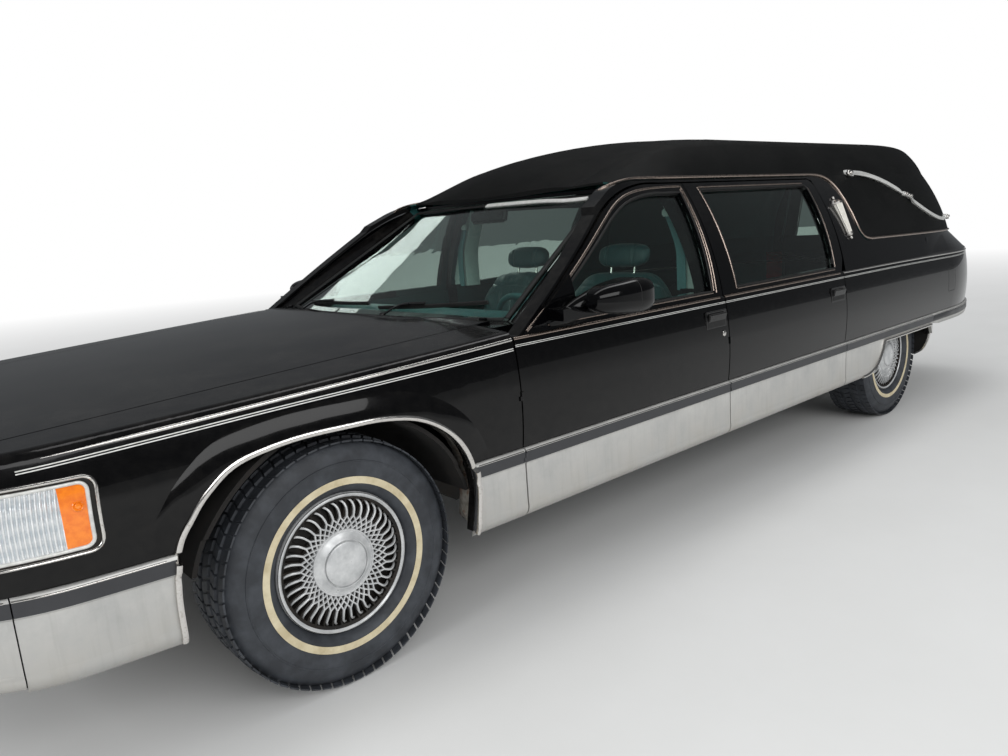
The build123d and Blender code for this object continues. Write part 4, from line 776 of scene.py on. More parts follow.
def on_cover(radius, angle):
    """A point on the cover's dished face."""
    dish = 0.012 * sin(pi * min(max((radius - 0.09) / 0.1, 0.0), 1.0))
    back = 0.016 * max((radius - 0.165) / 0.026, 0.0) ** 2
    return Vector((radius * sin(angle), 0.089 + dish - back, radius * cos(angle)))


def spoke():
    """One waved spoke that splits into two branches."""
    bm = bmesh.new()
    step = 2 * pi / SPOKES
    wires = [(OUTER_WIRE, OUTER_WIDTH)]
    wires += [([(r, a * sign) for r, a in BRANCH_WIRE], BRANCH_WIDTH) for sign in (-1, 1)]
    for path, width in wires:
        run = curve_through([on_cover(r, a * step) for r, a in path], 0.006)
        w = width / 2
        dome = [(-w, 0.0), (-0.4 * w, WIRE_DOME), (0.4 * w, WIRE_DOME), (w, 0.0)]
        sweep(bm, run, [Vector((0, 1, 0))] * len(run), [(-w, WIRE_DEEP)] + dome + [(w, WIRE_DEEP)])
    return bm


spoke_mesh = ring_of("spokes", spoke(), SPOKES, "wheel")
print("spokes", len(spoke_mesh.polygons), "faces")

# %% [markdown]
# ## Wheel covers
# The cover is pressed steel: a rolled rim, the wires, and a domed hub with a groove round its
# disc. A dark dish closes it behind the wires. Each is turned from its (radius, y) profile, and
# placed at the four wheels with its face outwards.

# %% Cover profiles and the four wheels
COVER_RIM = [
    (0.2075, 0.086), (0.2078, 0.0935), (0.2050, 0.0985), (0.2000, 0.1000), (0.1955, 0.0970),
    (0.1915, 0.0900), (0.1895, 0.0780), (0.1880, 0.0700), (0.1920, 0.0690), (0.1990, 0.0820),
]
COVER_HUB = [
    (0.0995, 0.0800), (0.0995, 0.0925), (0.0975, 0.0955), (0.0945, 0.0955), (0.0925, 0.0930),
    (0.0890, 0.0935), (0.0760, 0.1040), (0.0715, 0.1065), (0.0700, 0.1060), (0.0690, 0.1010),
    (0.0665, 0.1010), (0.0650, 0.1075), (0.0600, 0.1100), (0.0400, 0.1130), (0.0200, 0.1143),
    (0.0, 0.1147),
]
COVER_BACK = [
    (0.188, 0.066), (0.170, 0.070), (0.110, 0.080), (0.095, 0.080),
    (0.095, 0.074), (0.110, 0.074), (0.188, 0.058),
]
WHEEL_MESHES = {
    "tyre": tyre_mesh,
    "tread": tread_mesh,
    "cover_spokes": spoke_mesh,
    "cover_rim": mesh_of(lathe(COVER_RIM, 128), "cover_rim", "wheel"),
    "cover_hub": mesh_of(lathe(COVER_HUB, 96, closed=False), "cover_hub", "wheel"),
    "cover_back": mesh_of(lathe(COVER_BACK, 96), "cover_back", "steel_dark"),
}


def placed(mesh, matrix):
    """A copy of a mesh moved by a matrix, its faces still outwards."""
    copy = mesh.copy()
    copy.transform(matrix)
    if matrix.determinant() < 0:
        copy.flip_normals()
    return copy


for axle, x in (("front", FRONT_AXLE_X), ("rear", REAR_AXLE_X)):
    for side, sign in SIDES:
        spot = Matrix.Translation((x, sign * TRACK[axle] / 2, TYRE_R)) @ Matrix.Scale(sign, 4, (0, 1, 0))
        for stem, mesh in WHEEL_MESHES.items():
            made = piece(f"{stem}_{axle}_{side}", placed(mesh, spot), "wheel", f"{axle}_wheel_{side}")
            if stem == "tyre":
                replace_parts(made, f"{axle}_tyre_{side}")
print("wheels dressed:", len(WHEEL_MESHES) * 4, "pieces")

# %% [markdown]
# ## Trim laid on the panels
# The belt moulding, the thin stripes under it and the frames of the windows follow panels that
# curve both ways. Their routes are drawn flat, as seen from the side, and a level ray from
# outside carries each point onto the CAD panel. So the trim stays on the panel even when the
# panel's shape is changed.

# %% Rays onto panels, and strips
def skin_of(*names):
    """One search tree over the CAD panels with these names."""
    verts, faces = [], []
    for name in names:
        held = nodes[name]
        start = len(verts)
        verts += [held.matrix_world @ v.co for v in held.data.vertices]
        faces += [[start + i for i in p.vertices] for p in held.data.polygons]
    return BVHTree.FromPolygons(verts, faces)


def first_hit(skin, start, towards):
    """Where a ray meets a panel and the panel's normal there, turned against the ray."""
    where, normal, _, _ = skin.ray_cast(start, towards)
    if where is None:
        return None
    return where, (normal if normal.dot(towards) < 0 else -normal)


def on_side(skin, x, z):
    """The left side of a panel at a place seen from the side."""
    return first_hit(skin, Vector((x, 1.4, z)), Vector((0, -1, 0)))


def around(skin, centre_x, turn, z, centre_y=0.0):
    """A panel met by a level ray towards an upright line. Turn is 90 on the left side."""
    out = Vector((cos(radians(turn)), sin(radians(turn)), 0))
    return first_hit(skin, Vector((centre_x, centre_y, z)) + out * 3.0, -out)


def side_hits(skin, path, step=0.03, smooth_path=True):
    """Hits along an (x, z) path, which is rounded and divided unless it is given dense."""
    flat = [Vector((x, 0, z)) for x, z in path]
    return [on_side(skin, p.x, p.z) for p in (curve_through(flat, step) if smooth_path else flat)]


def half_round(width, height, sink=0.0015):
    """A trim section: a low dome on a base that sinks a little into the panel."""
    w = width / 2
    dome = [(w * cos(a), height * sin(a)) for a in [pi * i / 8 for i in range(9)]]
    return [(w, -sink)] + dome + [(-w, -sink)]


def strip_mesh(hits, width, height, section=None, taper=None):
    """A strip laid over points where rays met a panel."""
    hits = [hit for hit in hits if hit]
    bm = bmesh.new()
    sweep(bm, [h[0] for h in hits], [h[1] for h in hits], section or half_round(width, height), taper)
    return bm


def strip(name, key, body, hits, width=0.0, height=0.0, section=None):
    return piece(name, strip_mesh(hits, width, height, section), key, body)


def strips(stem, key, hits, width=0.0, height=0.0, section=None, taper=None, door=None):
    """A strip on the left side and its twin on the right."""
    return both(stem, strip_mesh(hits, width, height, section, taper), key, door)


BELT_Z, STRIPE_Z, EDGE_Z = 0.9290, (0.9085, 0.9035), 0.5625
PIN, BELT, EDGE = (0.0022, 0.0006), (0.011, 0.004), (0.005, 0.002)
DOORS = {"front_door": (0.2715, 1.4645), "rear_door": (-0.8085, 0.2645)}
for door, (x0, x1) in DOORS.items():
    skin, clad = skin_of(f"{door}_left"), skin_of(f"{door}_cladding_left")
    strips(f"belt_{door}", "frame_bright", side_hits(skin, [(x1, BELT_Z), (x0, BELT_Z)]), *BELT, door=door)
    for i, z in enumerate(STRIPE_Z):
        strips(f"stripe{i}_{door}", "satin", side_hits(skin, [(x1, z), (x0, z)]), *PIN, door=door)
    strips(f"strip_edge_{door}", "chrome", side_hits(clad, [(x1, EDGE_Z), (x0, EDGE_Z)]), *EDGE, door=door)
print("belts, stripes and strip edges on", list(DOORS))

# %% [markdown]
# The roof band starts on the windscreen post, runs level over the doors, drops behind the rear
# one and turns level again to the tail. On the post a ray would slip past the edge, so the first
# points are given in space. Normals are averaged over seven points, because the band bridges
# small steps between the panels under it.

# %% Roof band
BAND_LEAD = [(0.752, 0.716, 1.389), (0.728, 0.724, 1.402), (0.69, 0.733, 1.4135), (0.64, 0.739, 1.424)]
BAND_LEAD += [(0.585, 0.739, 1.432)]
BAND = [(0.54, 1.4345), (0.44, 1.4345), (-0.72, 1.4345), (-0.82, 1.4345), (-0.90, 1.4335)]
BAND += [(-0.965, 1.428), (-1.015, 1.414), (-1.052, 1.386), (-1.083, 1.32), (-1.099, 1.22)]
BAND += [(-1.112, 1.145), (-1.145, 1.098), (-1.21, 1.0805), (-1.32, 1.0765)]
BAND += [(-2.0, 1.0645), (-2.6, 1.0535), (-2.93, 1.0475)]


def evened(hits, reach=3):
    """The hits with normals averaged over their neighbours, and y too away from the ends."""
    out = []
    for i, (where, _) in enumerate(hits):
        near = hits[max(i - reach, 0) : i + reach + 1]
        whole = len(near) == 2 * reach + 1
        y = sum(p.y for p, _ in near) / len(near) if whole else where.y
        out.append((Vector((where.x, y, where.z)), sum((n for _, n in near), Vector()).normalized()))
    return out


tail_skin = skin_of("quarter_panels", "vinyl_roof", "body_frame", "tailgate")
post_normal = Vector((0.1, 0.75, 0.65)).normalized()
hits = [(p, post_normal) for p in curve_through(BAND_LEAD, 0.02)] + side_hits(tail_skin, BAND, 0.025)
strips("roof_band", "frame_bright", evened(hits), 0.013, 0.007)
print("roof band over", len(hits), "points")

# %% [markdown]
# On the quarter panels the belt and stripes go on round the tail. A level ray from the side
# would graze there, so the rays turn about an upright line inside the tail. On the fender the
# upper stripe is a moulding that tapers to a point at the front.

# %% Belt and stripes on the quarter panels, the rear door and the fenders
TAIL_START, TURN_X = -0.8155, -2.3
quarter, fender, gate = skin_of("quarter_panels"), skin_of("front_fenders"), skin_of("tailgate")
hits = side_hits(quarter, [(TAIL_START, 0.929), (-1.5, 0.927), (-2.0, 0.922), (TURN_X, 0.918)])
hits += [around(quarter, TURN_X, 92 + 2.5 * i, 0.918 - 0.0006 * i) for i in range(21)]
strips("belt_quarter", "chrome", hits, *BELT)
hits = [around(gate, TURN_X, 144.5 + 2 * i, 0.905) for i in range(36)]
strip("belt_tailgate", "chrome", "tailgate", hits, *BELT)
for i, drop in enumerate((0.0, 0.005)):
    hits = side_hits(quarter, [(TAIL_START, 0.9085 - drop), (-1.5, 0.9065 - drop), (TURN_X, 0.898 - drop)])
    hits += [around(quarter, TURN_X, 92 + 2.5 * j, 0.898 - drop) for j in range(21)]
    strips(f"stripe{i}_quarter", "satin", hits, *PIN)
UPPER_STRIPE = [(2.79, 0.862), (2.5, 0.877), (2.2, 0.893), (1.8, 0.9125), (1.4755, 0.9285)]
LOWER_STRIPE = [(2.84, 0.843), (2.5, 0.8605), (2.218, 0.874), (1.8, 0.888), (1.4755, 0.9)]
hits = side_hits(fender, UPPER_STRIPE)
strips("stripe_upper_fender", "chrome", hits, 0.0105, 0.0035, taper=lambda t: min(1.0, 0.1 + t * 5))
for i, drop in enumerate((0.0, 0.006)):
    hits = side_hits(fender, [(x, z - drop) for x, z in LOWER_STRIPE])
    strips(f"stripe_lower{i}_fender", "satin", hits, 0.003, 0.0008)
print("belts and stripes laid")

# %% [markdown]
# ## Wheel openings
# A raised flare goes round the front opening, with a bright rolled lip on its edge. Behind the
# wheel, the cladding's inner flange shows its rust. All three are sections carried round one
# smooth line. They could be cut into the fender's solid, but the line bends too tightly there
# for a clean sweep, and a thin piece on top hides the joint between the fender and its edge.

# %% Front opening
# (x from the axle, z) round the opening, from its front foot to its rear foot.
ARCH = [(0.470, 0.352), (0.468, 0.480), (0.449, 0.590), (0.414, 0.651), (0.370, 0.704)]
ARCH += [(0.290, 0.757), (0.150, 0.781), (0.010, 0.783), (-0.120, 0.778), (-0.235, 0.752)]
ARCH += [(-0.330, 0.692), (-0.395, 0.604), (-0.423, 0.500), (-0.408, 0.352)]
# Sections as (outwards from the line, proud of the fender).
LIP = [(-0.003, -0.014), (-0.005, 0.004), (-0.003, 0.0105), (0.001, 0.0130), (0.006, 0.0135)]
LIP += [(0.0105, 0.0115), (0.0120, 0.0070), (0.0115, -0.002)]
FLANGE = [(0.004, -0.012), (0.004, -0.085), (0.020, -0.120), (0.024, -0.120), (0.010, -0.085), (0.010, -0.012)]
FLARE = [(0.002, -0.010), (0.001, 0.0085), (0.012, 0.0095), (0.030, 0.0090), (0.048, 0.0075)]
FLARE += [(0.062, 0.0050), (0.072, 0.0022), (0.078, -0.0004), (0.078, -0.002), (0.030, -0.003)]
FLARE_FOOT, NEAR_EDGE, FAR_EDGE = 0.572, 0.035, 0.070
front_skin = skin_of("front_fenders", "lower_cladding")


def arch_rings(section, lowest=0.0, end_scale=1.0):
    """Sections round the opening, on the fender's slope carried inwards to its edge."""
    line = curve_through([Vector((FRONT_AXLE_X + x, 0, z)) for x, z in ARCH], 0.015)
    run = [p for p in line if p.z >= lowest]
    rings = []
    for i, p in enumerate(run):
        along = (run[min(i + 1, len(run) - 1)] - run[max(i - 1, 0)]).normalized()
        out = Vector((along.z, 0, -along.x))
        near, far = (on_side(front_skin, *(p + out * reach).xz) for reach in (NEAR_EDGE, FAR_EDGE))
        if not near or not far:
            continue
        slope = (far[0].y - near[0].y) / (FAR_EDGE - NEAR_EDGE)
        size = min(1.0, end_scale + 6 * min(i, len(run) - 1 - i) / len(run))
        rings.append([])
        for reach, proud in section:
            at = p + out * reach
            at.y = near[0].y + (reach - NEAR_EDGE) * slope
            rings[-1].append(at + near[1] * (proud * size if proud > 0 else proud))
    return rings


both("lip_front_arch", ringed(arch_rings(LIP)), "chrome")
behind = [ring for ring in arch_rings(FLANGE) if ring[0].x < FRONT_AXLE_X - 0.20]
both("flange_front_arch", ringed(behind), "rusty")
both("flare_front_arch", ringed(arch_rings(FLARE, FLARE_FOOT, 0.3)), "paint")
print("front opening:", len(behind), "sections of flange")

# %% [markdown]
# The rear opening is lower and has only the lip. Its line starts as an arc, given by three
# points of a circle, and then runs level under the quarter panel.

# %% Rear opening
def arc3(a, m, b, count):
    """(x, z) points on the circle through three points."""
    (ax, az), (mx, mz), (bx, bz) = a, m, b
    d = 2 * (ax * (mz - bz) + mx * (bz - az) + bx * (az - mz))
    sa, sm, sb = ax * ax + az * az, mx * mx + mz * mz, bx * bx + bz * bz
    cx = (sa * (mz - bz) + sm * (bz - az) + sb * (az - mz)) / d
    cz = (sa * (bx - mx) + sm * (ax - bx) + sb * (mx - ax)) / d
    r = math.hypot(ax - cx, az - cz)
    start, middle, end = (math.atan2(z - cz, x - cx) for x, z in (a, m, b))
    turn = (end - start) % (2 * pi)
    if (middle - start) % (2 * pi) > turn:
        turn -= 2 * pi
    angles = [start + turn * i / count for i in range(count + 1)]
    return [(cx + r * cos(angle), cz + r * sin(angle)) for angle in angles]


ROLLED = [(0.008, -0.006), (0.0095, 0.002), (0.0065, 0.009), (0.0, 0.0115), (-0.0055, 0.009)]
ROLLED += [(-0.0085, 0.002), (-0.0085, -0.002)]
LIP_Z = 0.509
root_clad = skin_of("lower_cladding", "rear_bumper")
lip_line = arc3(*((REAR_AXLE_X + x, z) for x, z in ((0.583, 0.349), (0.400, 0.409), (0.335, LIP_Z))), 14)
lip_line += [(REAR_AXLE_X + x, LIP_Z) for x in (0.2, 0.0, -0.2, -0.333)]
strips("lip_rear_arch", "chrome", side_hits(root_clad, lip_line, 0.02), section=ROLLED)
print("rear opening lip laid")

# %% [markdown]
# ## Window frames and seals
# Each opening has bright strips round it and a black rubber seal inside. The strips are given
# by side, because the real ones stop at the corners. The seal is one closed line, pushed out
# from the middle of the glass so that it covers the joint.

# %% Window strips and seals
FRONT_FRAME = [(1.398, 0.944), (1.163, 1.085), (0.98, 1.203), (0.874, 1.271), (0.77, 1.331)]
FRONT_FRAME += [(0.668, 1.369), (0.55, 1.388), (0.418, 1.3945), (0.300, 1.3955)]
FRAME_STRIPS = {
    "front_door": [
        ("frame_front", FRONT_FRAME, 0.010),
        ("frame_post_a", [(0.2915, 1.396), (0.294, 1.25), (0.300, 1.1), (0.310, 0.95)], 0.007),
        ("frame_post_b", [(0.3045, 1.382), (0.308, 1.25), (0.3155, 1.1), (0.3285, 0.96)], 0.005),
        ("frame_sill", [(1.30, 0.951), (0.8, 0.951), (0.335, 0.951)], 0.006),
    ],
    "rear_door": [
        ("frame_front", [(0.1575, 0.952), (0.166, 1.15), (0.1735, 1.388)], 0.007),
        ("frame_top", [(0.172, 1.3895), (-0.3, 1.3895), (-0.735, 1.3895)], 0.007),
        ("frame_rear", [(-0.7665, 1.365), (-0.762, 1.25), (-0.7455, 0.965)], 0.007),
        ("frame_sill", [(0.150, 0.951), (-0.3, 0.951), (-0.738, 0.951)], 0.006),
    ],
}
SILL_Z = 0.962
WINDOWS = {
    "front_door": [(1.330, SILL_Z), (1.1, 1.1055)]
    + arc3((0.868, 1.250), (0.680, 1.337), (0.425, 1.369), 10)
    + [(0.318, 1.369), (0.33, 1.18), (0.345, SILL_Z)],
    "rear_door": [(0.148, SILL_Z), (0.157, 1.18), (0.165, 1.379)]
    + arc3((-0.735, 1.379), (-0.752, 1.372), (-0.758, 1.355), 4)
    + [(-0.747, 1.16), (-0.735, SILL_Z)],
}
SEAL = [(0.0045, -0.018), (0.0045, 0.0), (0.002, 0.0022), (-0.002, 0.0022), (-0.0045, 0.0), (-0.0045, -0.018)]
SEAL_OUT = 0.0055


def pushed(path, by):
    """A closed path moved away from its middle."""
    middle = Vector((sum(p[0] for p in path) / len(path), sum(p[1] for p in path) / len(path)))
    return [Vector(p) + (Vector(p) - middle).normalized() * by for p in path + path[:1]]


def divided(points, step):
    """A path of straight stretches with points no further apart than the step, about."""
    out = []
    for one, two in zip(points, points[1:]):
        count = max(1, round((two - one).length / step))
        out += [one.lerp(two, i / count) for i in range(count)]
    return out + [points[-1]]


door_skins = {door: skin_of(f"{door}_left") for door in DOORS}
for door, rows in FRAME_STRIPS.items():
    for stem, path, width in rows:
        strips(f"{stem}_{door}", "frame_bright", side_hits(door_skins[door], path), width, 0.003, door=door)
for door, path in WINDOWS.items():
    hits = side_hits(door_skins[door], divided(pushed(path, SEAL_OUT), 0.03), smooth_path=False)
    strips(f"seal_{door}", "rubber", hits, section=SEAL, door=door)
print("window strips and seals laid")

# %% [markdown]
# ## Edge of the rub strip
# A thin bright line runs along the top of the charcoal strip, round the nose and the tail. It
# goes over the fixed cladding in runs that stop at the wheel openings.

# %% Bright edge on fixed cladding and bumpers
for stem, x0, x1 in (("front_a", 1.4755, 1.665), ("front_b", 2.585, 2.894), ("rear", -0.8165, -1.968)):
    strips(f"strip_edge_{stem}", "chrome", side_hits(root_clad, [(x0, EDGE_Z), (x1, EDGE_Z)]), *EDGE)
nose_skin, tail_bumper = skin_of("front_bumper"), skin_of("rear_bumper")
hits = [around(nose_skin, 2.80, -83 + 2 * i, EDGE_Z) for i in range(84)]
strip("strip_edge_nose", "chrome", "root", hits, *EDGE)
hits = side_hits(tail_bumper, [(-1.979, EDGE_Z), (TURN_X, EDGE_Z)])
hits += [around(tail_bumper, TURN_X, 92 + 2 * i, EDGE_Z) for i in range(45)]
strips("strip_edge_tail", "chrome", hits, *EDGE)
print("rub strip edges laid")

# %% [markdown]
# ## Headlamp frames
# The lens and the amber corner lamp share one chrome bezel. Inside it are a dark gap and a thin
# silver frame, and a small round boss stands on the amber. The frames wrap round the corner of
# the nose, so their route is in turns about an upright line, with round rear corners.

# %% Headlamp frames and the boss
LAMP_CENTRE = (2.35, 0.30)
LAMP_REACH = 0.77
lamp_skin = skin_of("front_fenders", "headlamps", "corner_lamps")


def lamp_route(z0, z1, rear, inner, corner):
    """(turn, z) round the lamps, from the inner end over the top and back along the foot."""
    wide = degrees(corner / LAMP_REACH)
    count = int((rear - wide - inner) / 2)
    route = [(inner + 2 * i, z1) for i in range(count)]
    for cz, begin in ((z1 - corner, 90), (z0 + corner, 0)):
        for a in (radians(begin - 15 * i) for i in range(7)):
            route.append((rear - wide + wide * cos(a), cz + corner * sin(a)))
        if begin:
            route += [(rear, cz - (z1 - z0 - 2 * corner) * i / 8) for i in range(1, 8)]
    route += [(inner + 2 * i, z0) for i in reversed(range(count))]
    return route + [(inner, z0 + (z1 - z0) * i / 6) for i in range(1, 7)]


LAMP_FRAMES = (
    ("headlamp_bezel", "chrome", (0.637, 0.8085, 60.5, 12.5, 0.030), 0.010, 0.008),
    ("headlamp_gap", "steel_dark", (0.6425, 0.8030, 60.0, 13.0, 0.026), 0.014, 0.0025),
    ("headlamp_surround", "satin", (0.6490, 0.7965, 59.2, 13.6, 0.020), 0.009, 0.004),
)
for stem, key, route, width, height in LAMP_FRAMES:
    hits = [around(lamp_skin, LAMP_CENTRE[0], turn, z, LAMP_CENTRE[1]) for turn, z in lamp_route(*route)]
    strips(stem, key, hits, width, height)


def turned_on(profile, hit, steps):
    """A turned fitting stood on a panel, with its axis along the normal."""
    bm = lathe(profile, steps, closed=False)
    where, normal = hit
    bm.transform(Matrix.Translation(where) @ Vector((0, 1, 0)).rotation_difference(normal).to_matrix().to_4x4())
    return bm


BOSS = [(0.0125, -0.004), (0.0125, 0.003), (0.010, 0.0055), (0.0075, 0.003), (0.005, 0.0055), (0.0, 0.006)]
both("corner_lamp_boss", turned_on(BOSS, on_side(lamp_skin, 2.742, 0.745), 20), "amber")
print(len(LAMP_FRAMES), "lamp frames on each side")

# %% [markdown]
# ## Door handles and lock
# Each handle is a black bezel, a sunk pocket and a lifting flap that leans out. Boxes with
# rounded edges are enough, since nothing on a handle is larger than a hand.

# %% Handles and lock
def soft_box(low, high, bevel, segments=3, lean=None):
    """A box with rounded edges between two corners, turned about its middle if asked."""
    bm = bmesh.new()
    bmesh.ops.create_cube(bm, size=1.0)
    low, high = Vector(low), Vector(high)
    bmesh.ops.scale(bm, vec=high - low, verts=bm.verts)
    bmesh.ops.bevel(bm, geom=bm.edges, offset=bevel, segments=segments, affect="EDGES", clamp_overlap=True)
    if lean:
        bmesh.ops.rotate(bm, matrix=Matrix.Rotation(radians(lean[1]), 3, lean[0]), verts=bm.verts)
    bmesh.ops.translate(bm, vec=(low + high) / 2, verts=bm.verts)
    return bm


HANDLES = {"front_door": (0.282, 0.430, 0.803, 0.882), "rear_door": (-0.795, -0.648, 0.790, 0.866)}
for door, (x0, x1, z0, z1) in HANDLES.items():
    y = on_side(door_skins[door], (x0 + x1) / 2, (z0 + z1) / 2)[0].y
    bezel = soft_box((x0, y - 0.006, z0), (x1, y + 0.0035, z1), 0.003)
    pocket = soft_box((x0 + 0.010, y - 0.003, z0 + 0.010), (x1 - 0.010, y + 0.0042, z1 - 0.012), 0.002)
    flap_low, flap_high = (x0 + 0.012, y + 0.001, z1 - 0.043), (x1 - 0.012, y + 0.013, z1 - 0.010)
    both(f"handle_bezel_{door}", bezel, "black_plastic", door)
    both(f"handle_pocket_{door}", pocket, "rubber", door)
    both(f"handle_flap_{door}", soft_box(flap_low, flap_high, 0.004, lean=("X", -14)), "black_plastic", door)
LOCK = [(0.0125, -0.004), (0.0125, 0.003), (0.010, 0.0045), (0.0, 0.0045)]
both("door_lock", turned_on(LOCK, on_side(door_skins["front_door"], 0.308, 0.781), 24), "chrome", "front_door")
print("handles on", list(HANDLES))

# %% [markdown]
# ## Outside mirrors
# The CAD gives the housing. Here are its silvered glass, the full foot that carries it on the
# door's corner, and the seam round its shell. The glass has the outline of a superellipse, which
# is a rounded oblong by formula. The foot is an oval section that grows along its way.

# %% Mirror glass, foot and seam
GLASS_AT, GLASS_HALF, GLASS_X = (1.072, 1.022), (0.058, 0.040), (0.9675, 0.9720)
# Middle of the section, and its half height and half width.
FOOT = [((1.292, 0.950, 0.954), 0.014, 0.010), ((1.240, 0.968, 0.970), 0.026, 0.018)]
FOOT += [((1.185, 0.988, 0.994), 0.037, 0.026), ((1.135, 1.012, 1.012), 0.045, 0.034)]
FOOT += [((1.085, 1.045, 1.020), 0.046, 0.040)]


def softened(value, power=0.55):
    return math.copysign(abs(value) ** power, value)


def mirror_glass():
    outline = []
    for a in (2 * pi * i / 40 for i in range(40)):
        outline.append((GLASS_AT[0] + GLASS_HALF[0] * softened(cos(a)), GLASS_AT[1] + GLASS_HALF[1] * softened(sin(a))))
    return ringed([[(x, y, z) for y, z in outline] for x in GLASS_X])


def mirror_foot():
    rings = []
    for i, (centre, tall, wide) in enumerate(FOOT):
        one, two = (Vector(FOOT[k][0]) for k in (max(i - 1, 0), min(i + 1, len(FOOT) - 1)))
        along = (two - one).normalized()
        side = along.cross(Vector((0, 0, 1))).normalized()
        upward = side.cross(along)
        angles = [2 * pi * j / 24 for j in range(24)]
        rings.append([Vector(centre) + side * (wide * cos(a)) + upward * (tall * sin(a)) for a in angles])
    return ringed(rings)


both("mirror_face", mirror_glass(), "mirror", "front_door")
both("mirror_foot", mirror_foot(), "paint", "front_door")
shell, hits = skin_of("mirror_left"), []
for a in (2 * pi * i / 48 for i in range(49)):
    out = Vector((0, cos(a), sin(a)))
    hits.append(first_hit(shell, Vector((1.045, 1.072, 1.022)) + out * 0.2, -out))
strips("mirror_seam", "rubber", hits, 0.0024, 0.0006, door="front_door")
FLAP = [Vector(p) for p in ((-2.212, 0.827), (-2.322, 0.827), (-2.322, 0.683), (-2.212, 0.683), (-2.212, 0.827))]
flap_line = [one.lerp(two, i / 6) for one, two in zip(FLAP, FLAP[1:]) for i in range(6)] + FLAP[-1:]
hits = side_hits(quarter, flap_line, smooth_path=False)
strip("fuel_flap_gap", "rubber", "root", hits, 0.003, 0.0006)
print("mirrors and the gap round the fuel flap")

# %% [markdown]
# ## Coach lamps
# A coach lamp is a slim four-sided opal lens that narrows downwards, in a bright cap and foot
# with small ball ends. Its solid came out too fat, so it is drawn again here, from facetted
# sections at shares of its length. Each section stands on the quarter panel.

# %% Coach lamps
LAMP_FOOT, LAMP_TOP = (-0.983, 1.104), (-0.961, 1.292)
LENS_LOW, LENS_HIGH = (0.09, 0.0125, 0.018), (0.87, 0.0225, 0.030)
# Share of the lamp's length, half width and depth.
LAMP_PARTS = {
    "coach_lamp_lens": ("opal", [LENS_LOW, LENS_HIGH]),
    "coach_lamp_foot": ("chrome", [(0.0, 0.0060, 0.008), (0.04, 0.0135, 0.018), (0.10, 0.0145, 0.020)]),
    "coach_lamp_cap": (
        "chrome", [(0.86, 0.0240, 0.032), (0.90, 0.0265, 0.034), (0.95, 0.0160, 0.024), (1.0, 0.0070, 0.010)]
    ),
}
LAMP_SINK = -0.004
BALL_R = 0.0085


def lamp_section(share, half, deep):
    """Six points of a facetted section."""
    x, z = (low + (high - low) * share for low, high in zip(LAMP_FOOT, LAMP_TOP))
    where, normal = on_side(quarter, x, z)
    across = Vector((0, 0, 1)).cross(normal).normalized()
    flat = [(-half, LAMP_SINK), (-half, 0.5 * deep), (-0.65 * half, deep)]
    flat += [(-u, v) for u, v in reversed(flat)]
    return [where + across * u + normal * v for u, v in flat]


for stem, (key, stations) in LAMP_PARTS.items():
    for half_lamp in both(stem, ringed([lamp_section(*station) for station in stations]), key):
        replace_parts(half_lamp, "coach_lamps")
low_ring, high_ring = lamp_section(*LENS_LOW), lamp_section(*LENS_HIGH)
for i in (1, 4):
    run = [(low_ring[i].lerp(high_ring[i], t / 6), Vector((0, 1, 0))) for t in range(7)]
    strips(f"coach_lamp_bar{i}", "chrome", run, 0.0045, 0.0022)
ball = [(BALL_R * sin(pi * i / 10), 0.006 - BALL_R * cos(pi * i / 10)) for i in range(11)]
for stem, x, z in (("coach_lamp_ball_low", -0.9845, 1.096), ("coach_lamp_ball_top", -0.960, 1.302)):
    both(stem, turned_on(ball, on_side(quarter, x, z), 24), "chrome")
print("coach lamps:", len(LAMP_PARTS) + 4, "pieces on each side")

# %% [markdown]
# ## Roof irons
# The irons are cast rods in an S, with round bosses that came out too large in the solid. A
# merged copy of their mesh is drawn in towards each boss, which keeps the rest of the shape.
# A turned knuckle then caps each one.

# %% Irons
# Where each boss is, as (x, z), and the size of its cap.
IRON_BOSSES = (((-1.283, 1.436), 1.0), ((-1.850, 1.302), 0.7), ((-1.890, 1.288), 0.8), ((-2.580, 1.139), 0.8))
KNUCKLE = [(0.020, -0.012), (0.021, 0.000), (0.018, 0.006), (0.012, 0.008), (0.011, 0.014)]
KNUCKLE += [(0.006, 0.018), (0.0, 0.019)]
BOSS_INNER, BOSS_OUTER, BOSS_KEEP = 0.013, 0.036, 0.25


def merged(name):
    """A copy of a CAD node's mesh in the row frame, its loose triangles joined."""
    bm = bmesh.new()
    bm.from_mesh(nodes[name].data)
    bmesh.ops.transform(bm, matrix=nodes[name].matrix_world, verts=bm.verts)
    bmesh.ops.remove_doubles(bm, verts=bm.verts, dist=1e-6)
    return bm


irons = merged("landau_irons")
for v in irons.verts:
    for (x, z), _ in IRON_BOSSES:
        away = math.hypot(v.co.x - x, v.co.z - z)
        if BOSS_INNER < away < BOSS_OUTER:
            share = (BOSS_INNER + BOSS_KEEP * (away - BOSS_INNER)) / away
            v.co.x = x + (v.co.x - x) * share
            v.co.z = z + (v.co.z - z) * share
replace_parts(piece("landau_irons_cover", irons, "satin", "root"), "landau_irons")
iron_skin = skin_of("landau_irons")
for i, ((x, z), scale) in enumerate(IRON_BOSSES):
    cap = [(r * scale, y * scale) for r, y in KNUCKLE]
    both(f"iron_knuckle{i}", turned_on(cap, on_side(iron_skin, x, z), 24), "chrome")
print("irons with", len(IRON_BOSSES), "knuckles on each side")

# %% [markdown]
# ## Rear bumper
# The bumper's sides end just under the rub strip, and only its middle hangs lower. A copy of
# its mesh is drawn up at the sides with a soft step, and the deep middle stays. A curved guard
# with a bright edge closes the wheel opening there. It is two sheets that stand close together,
# since only its faces and its edge can be seen.

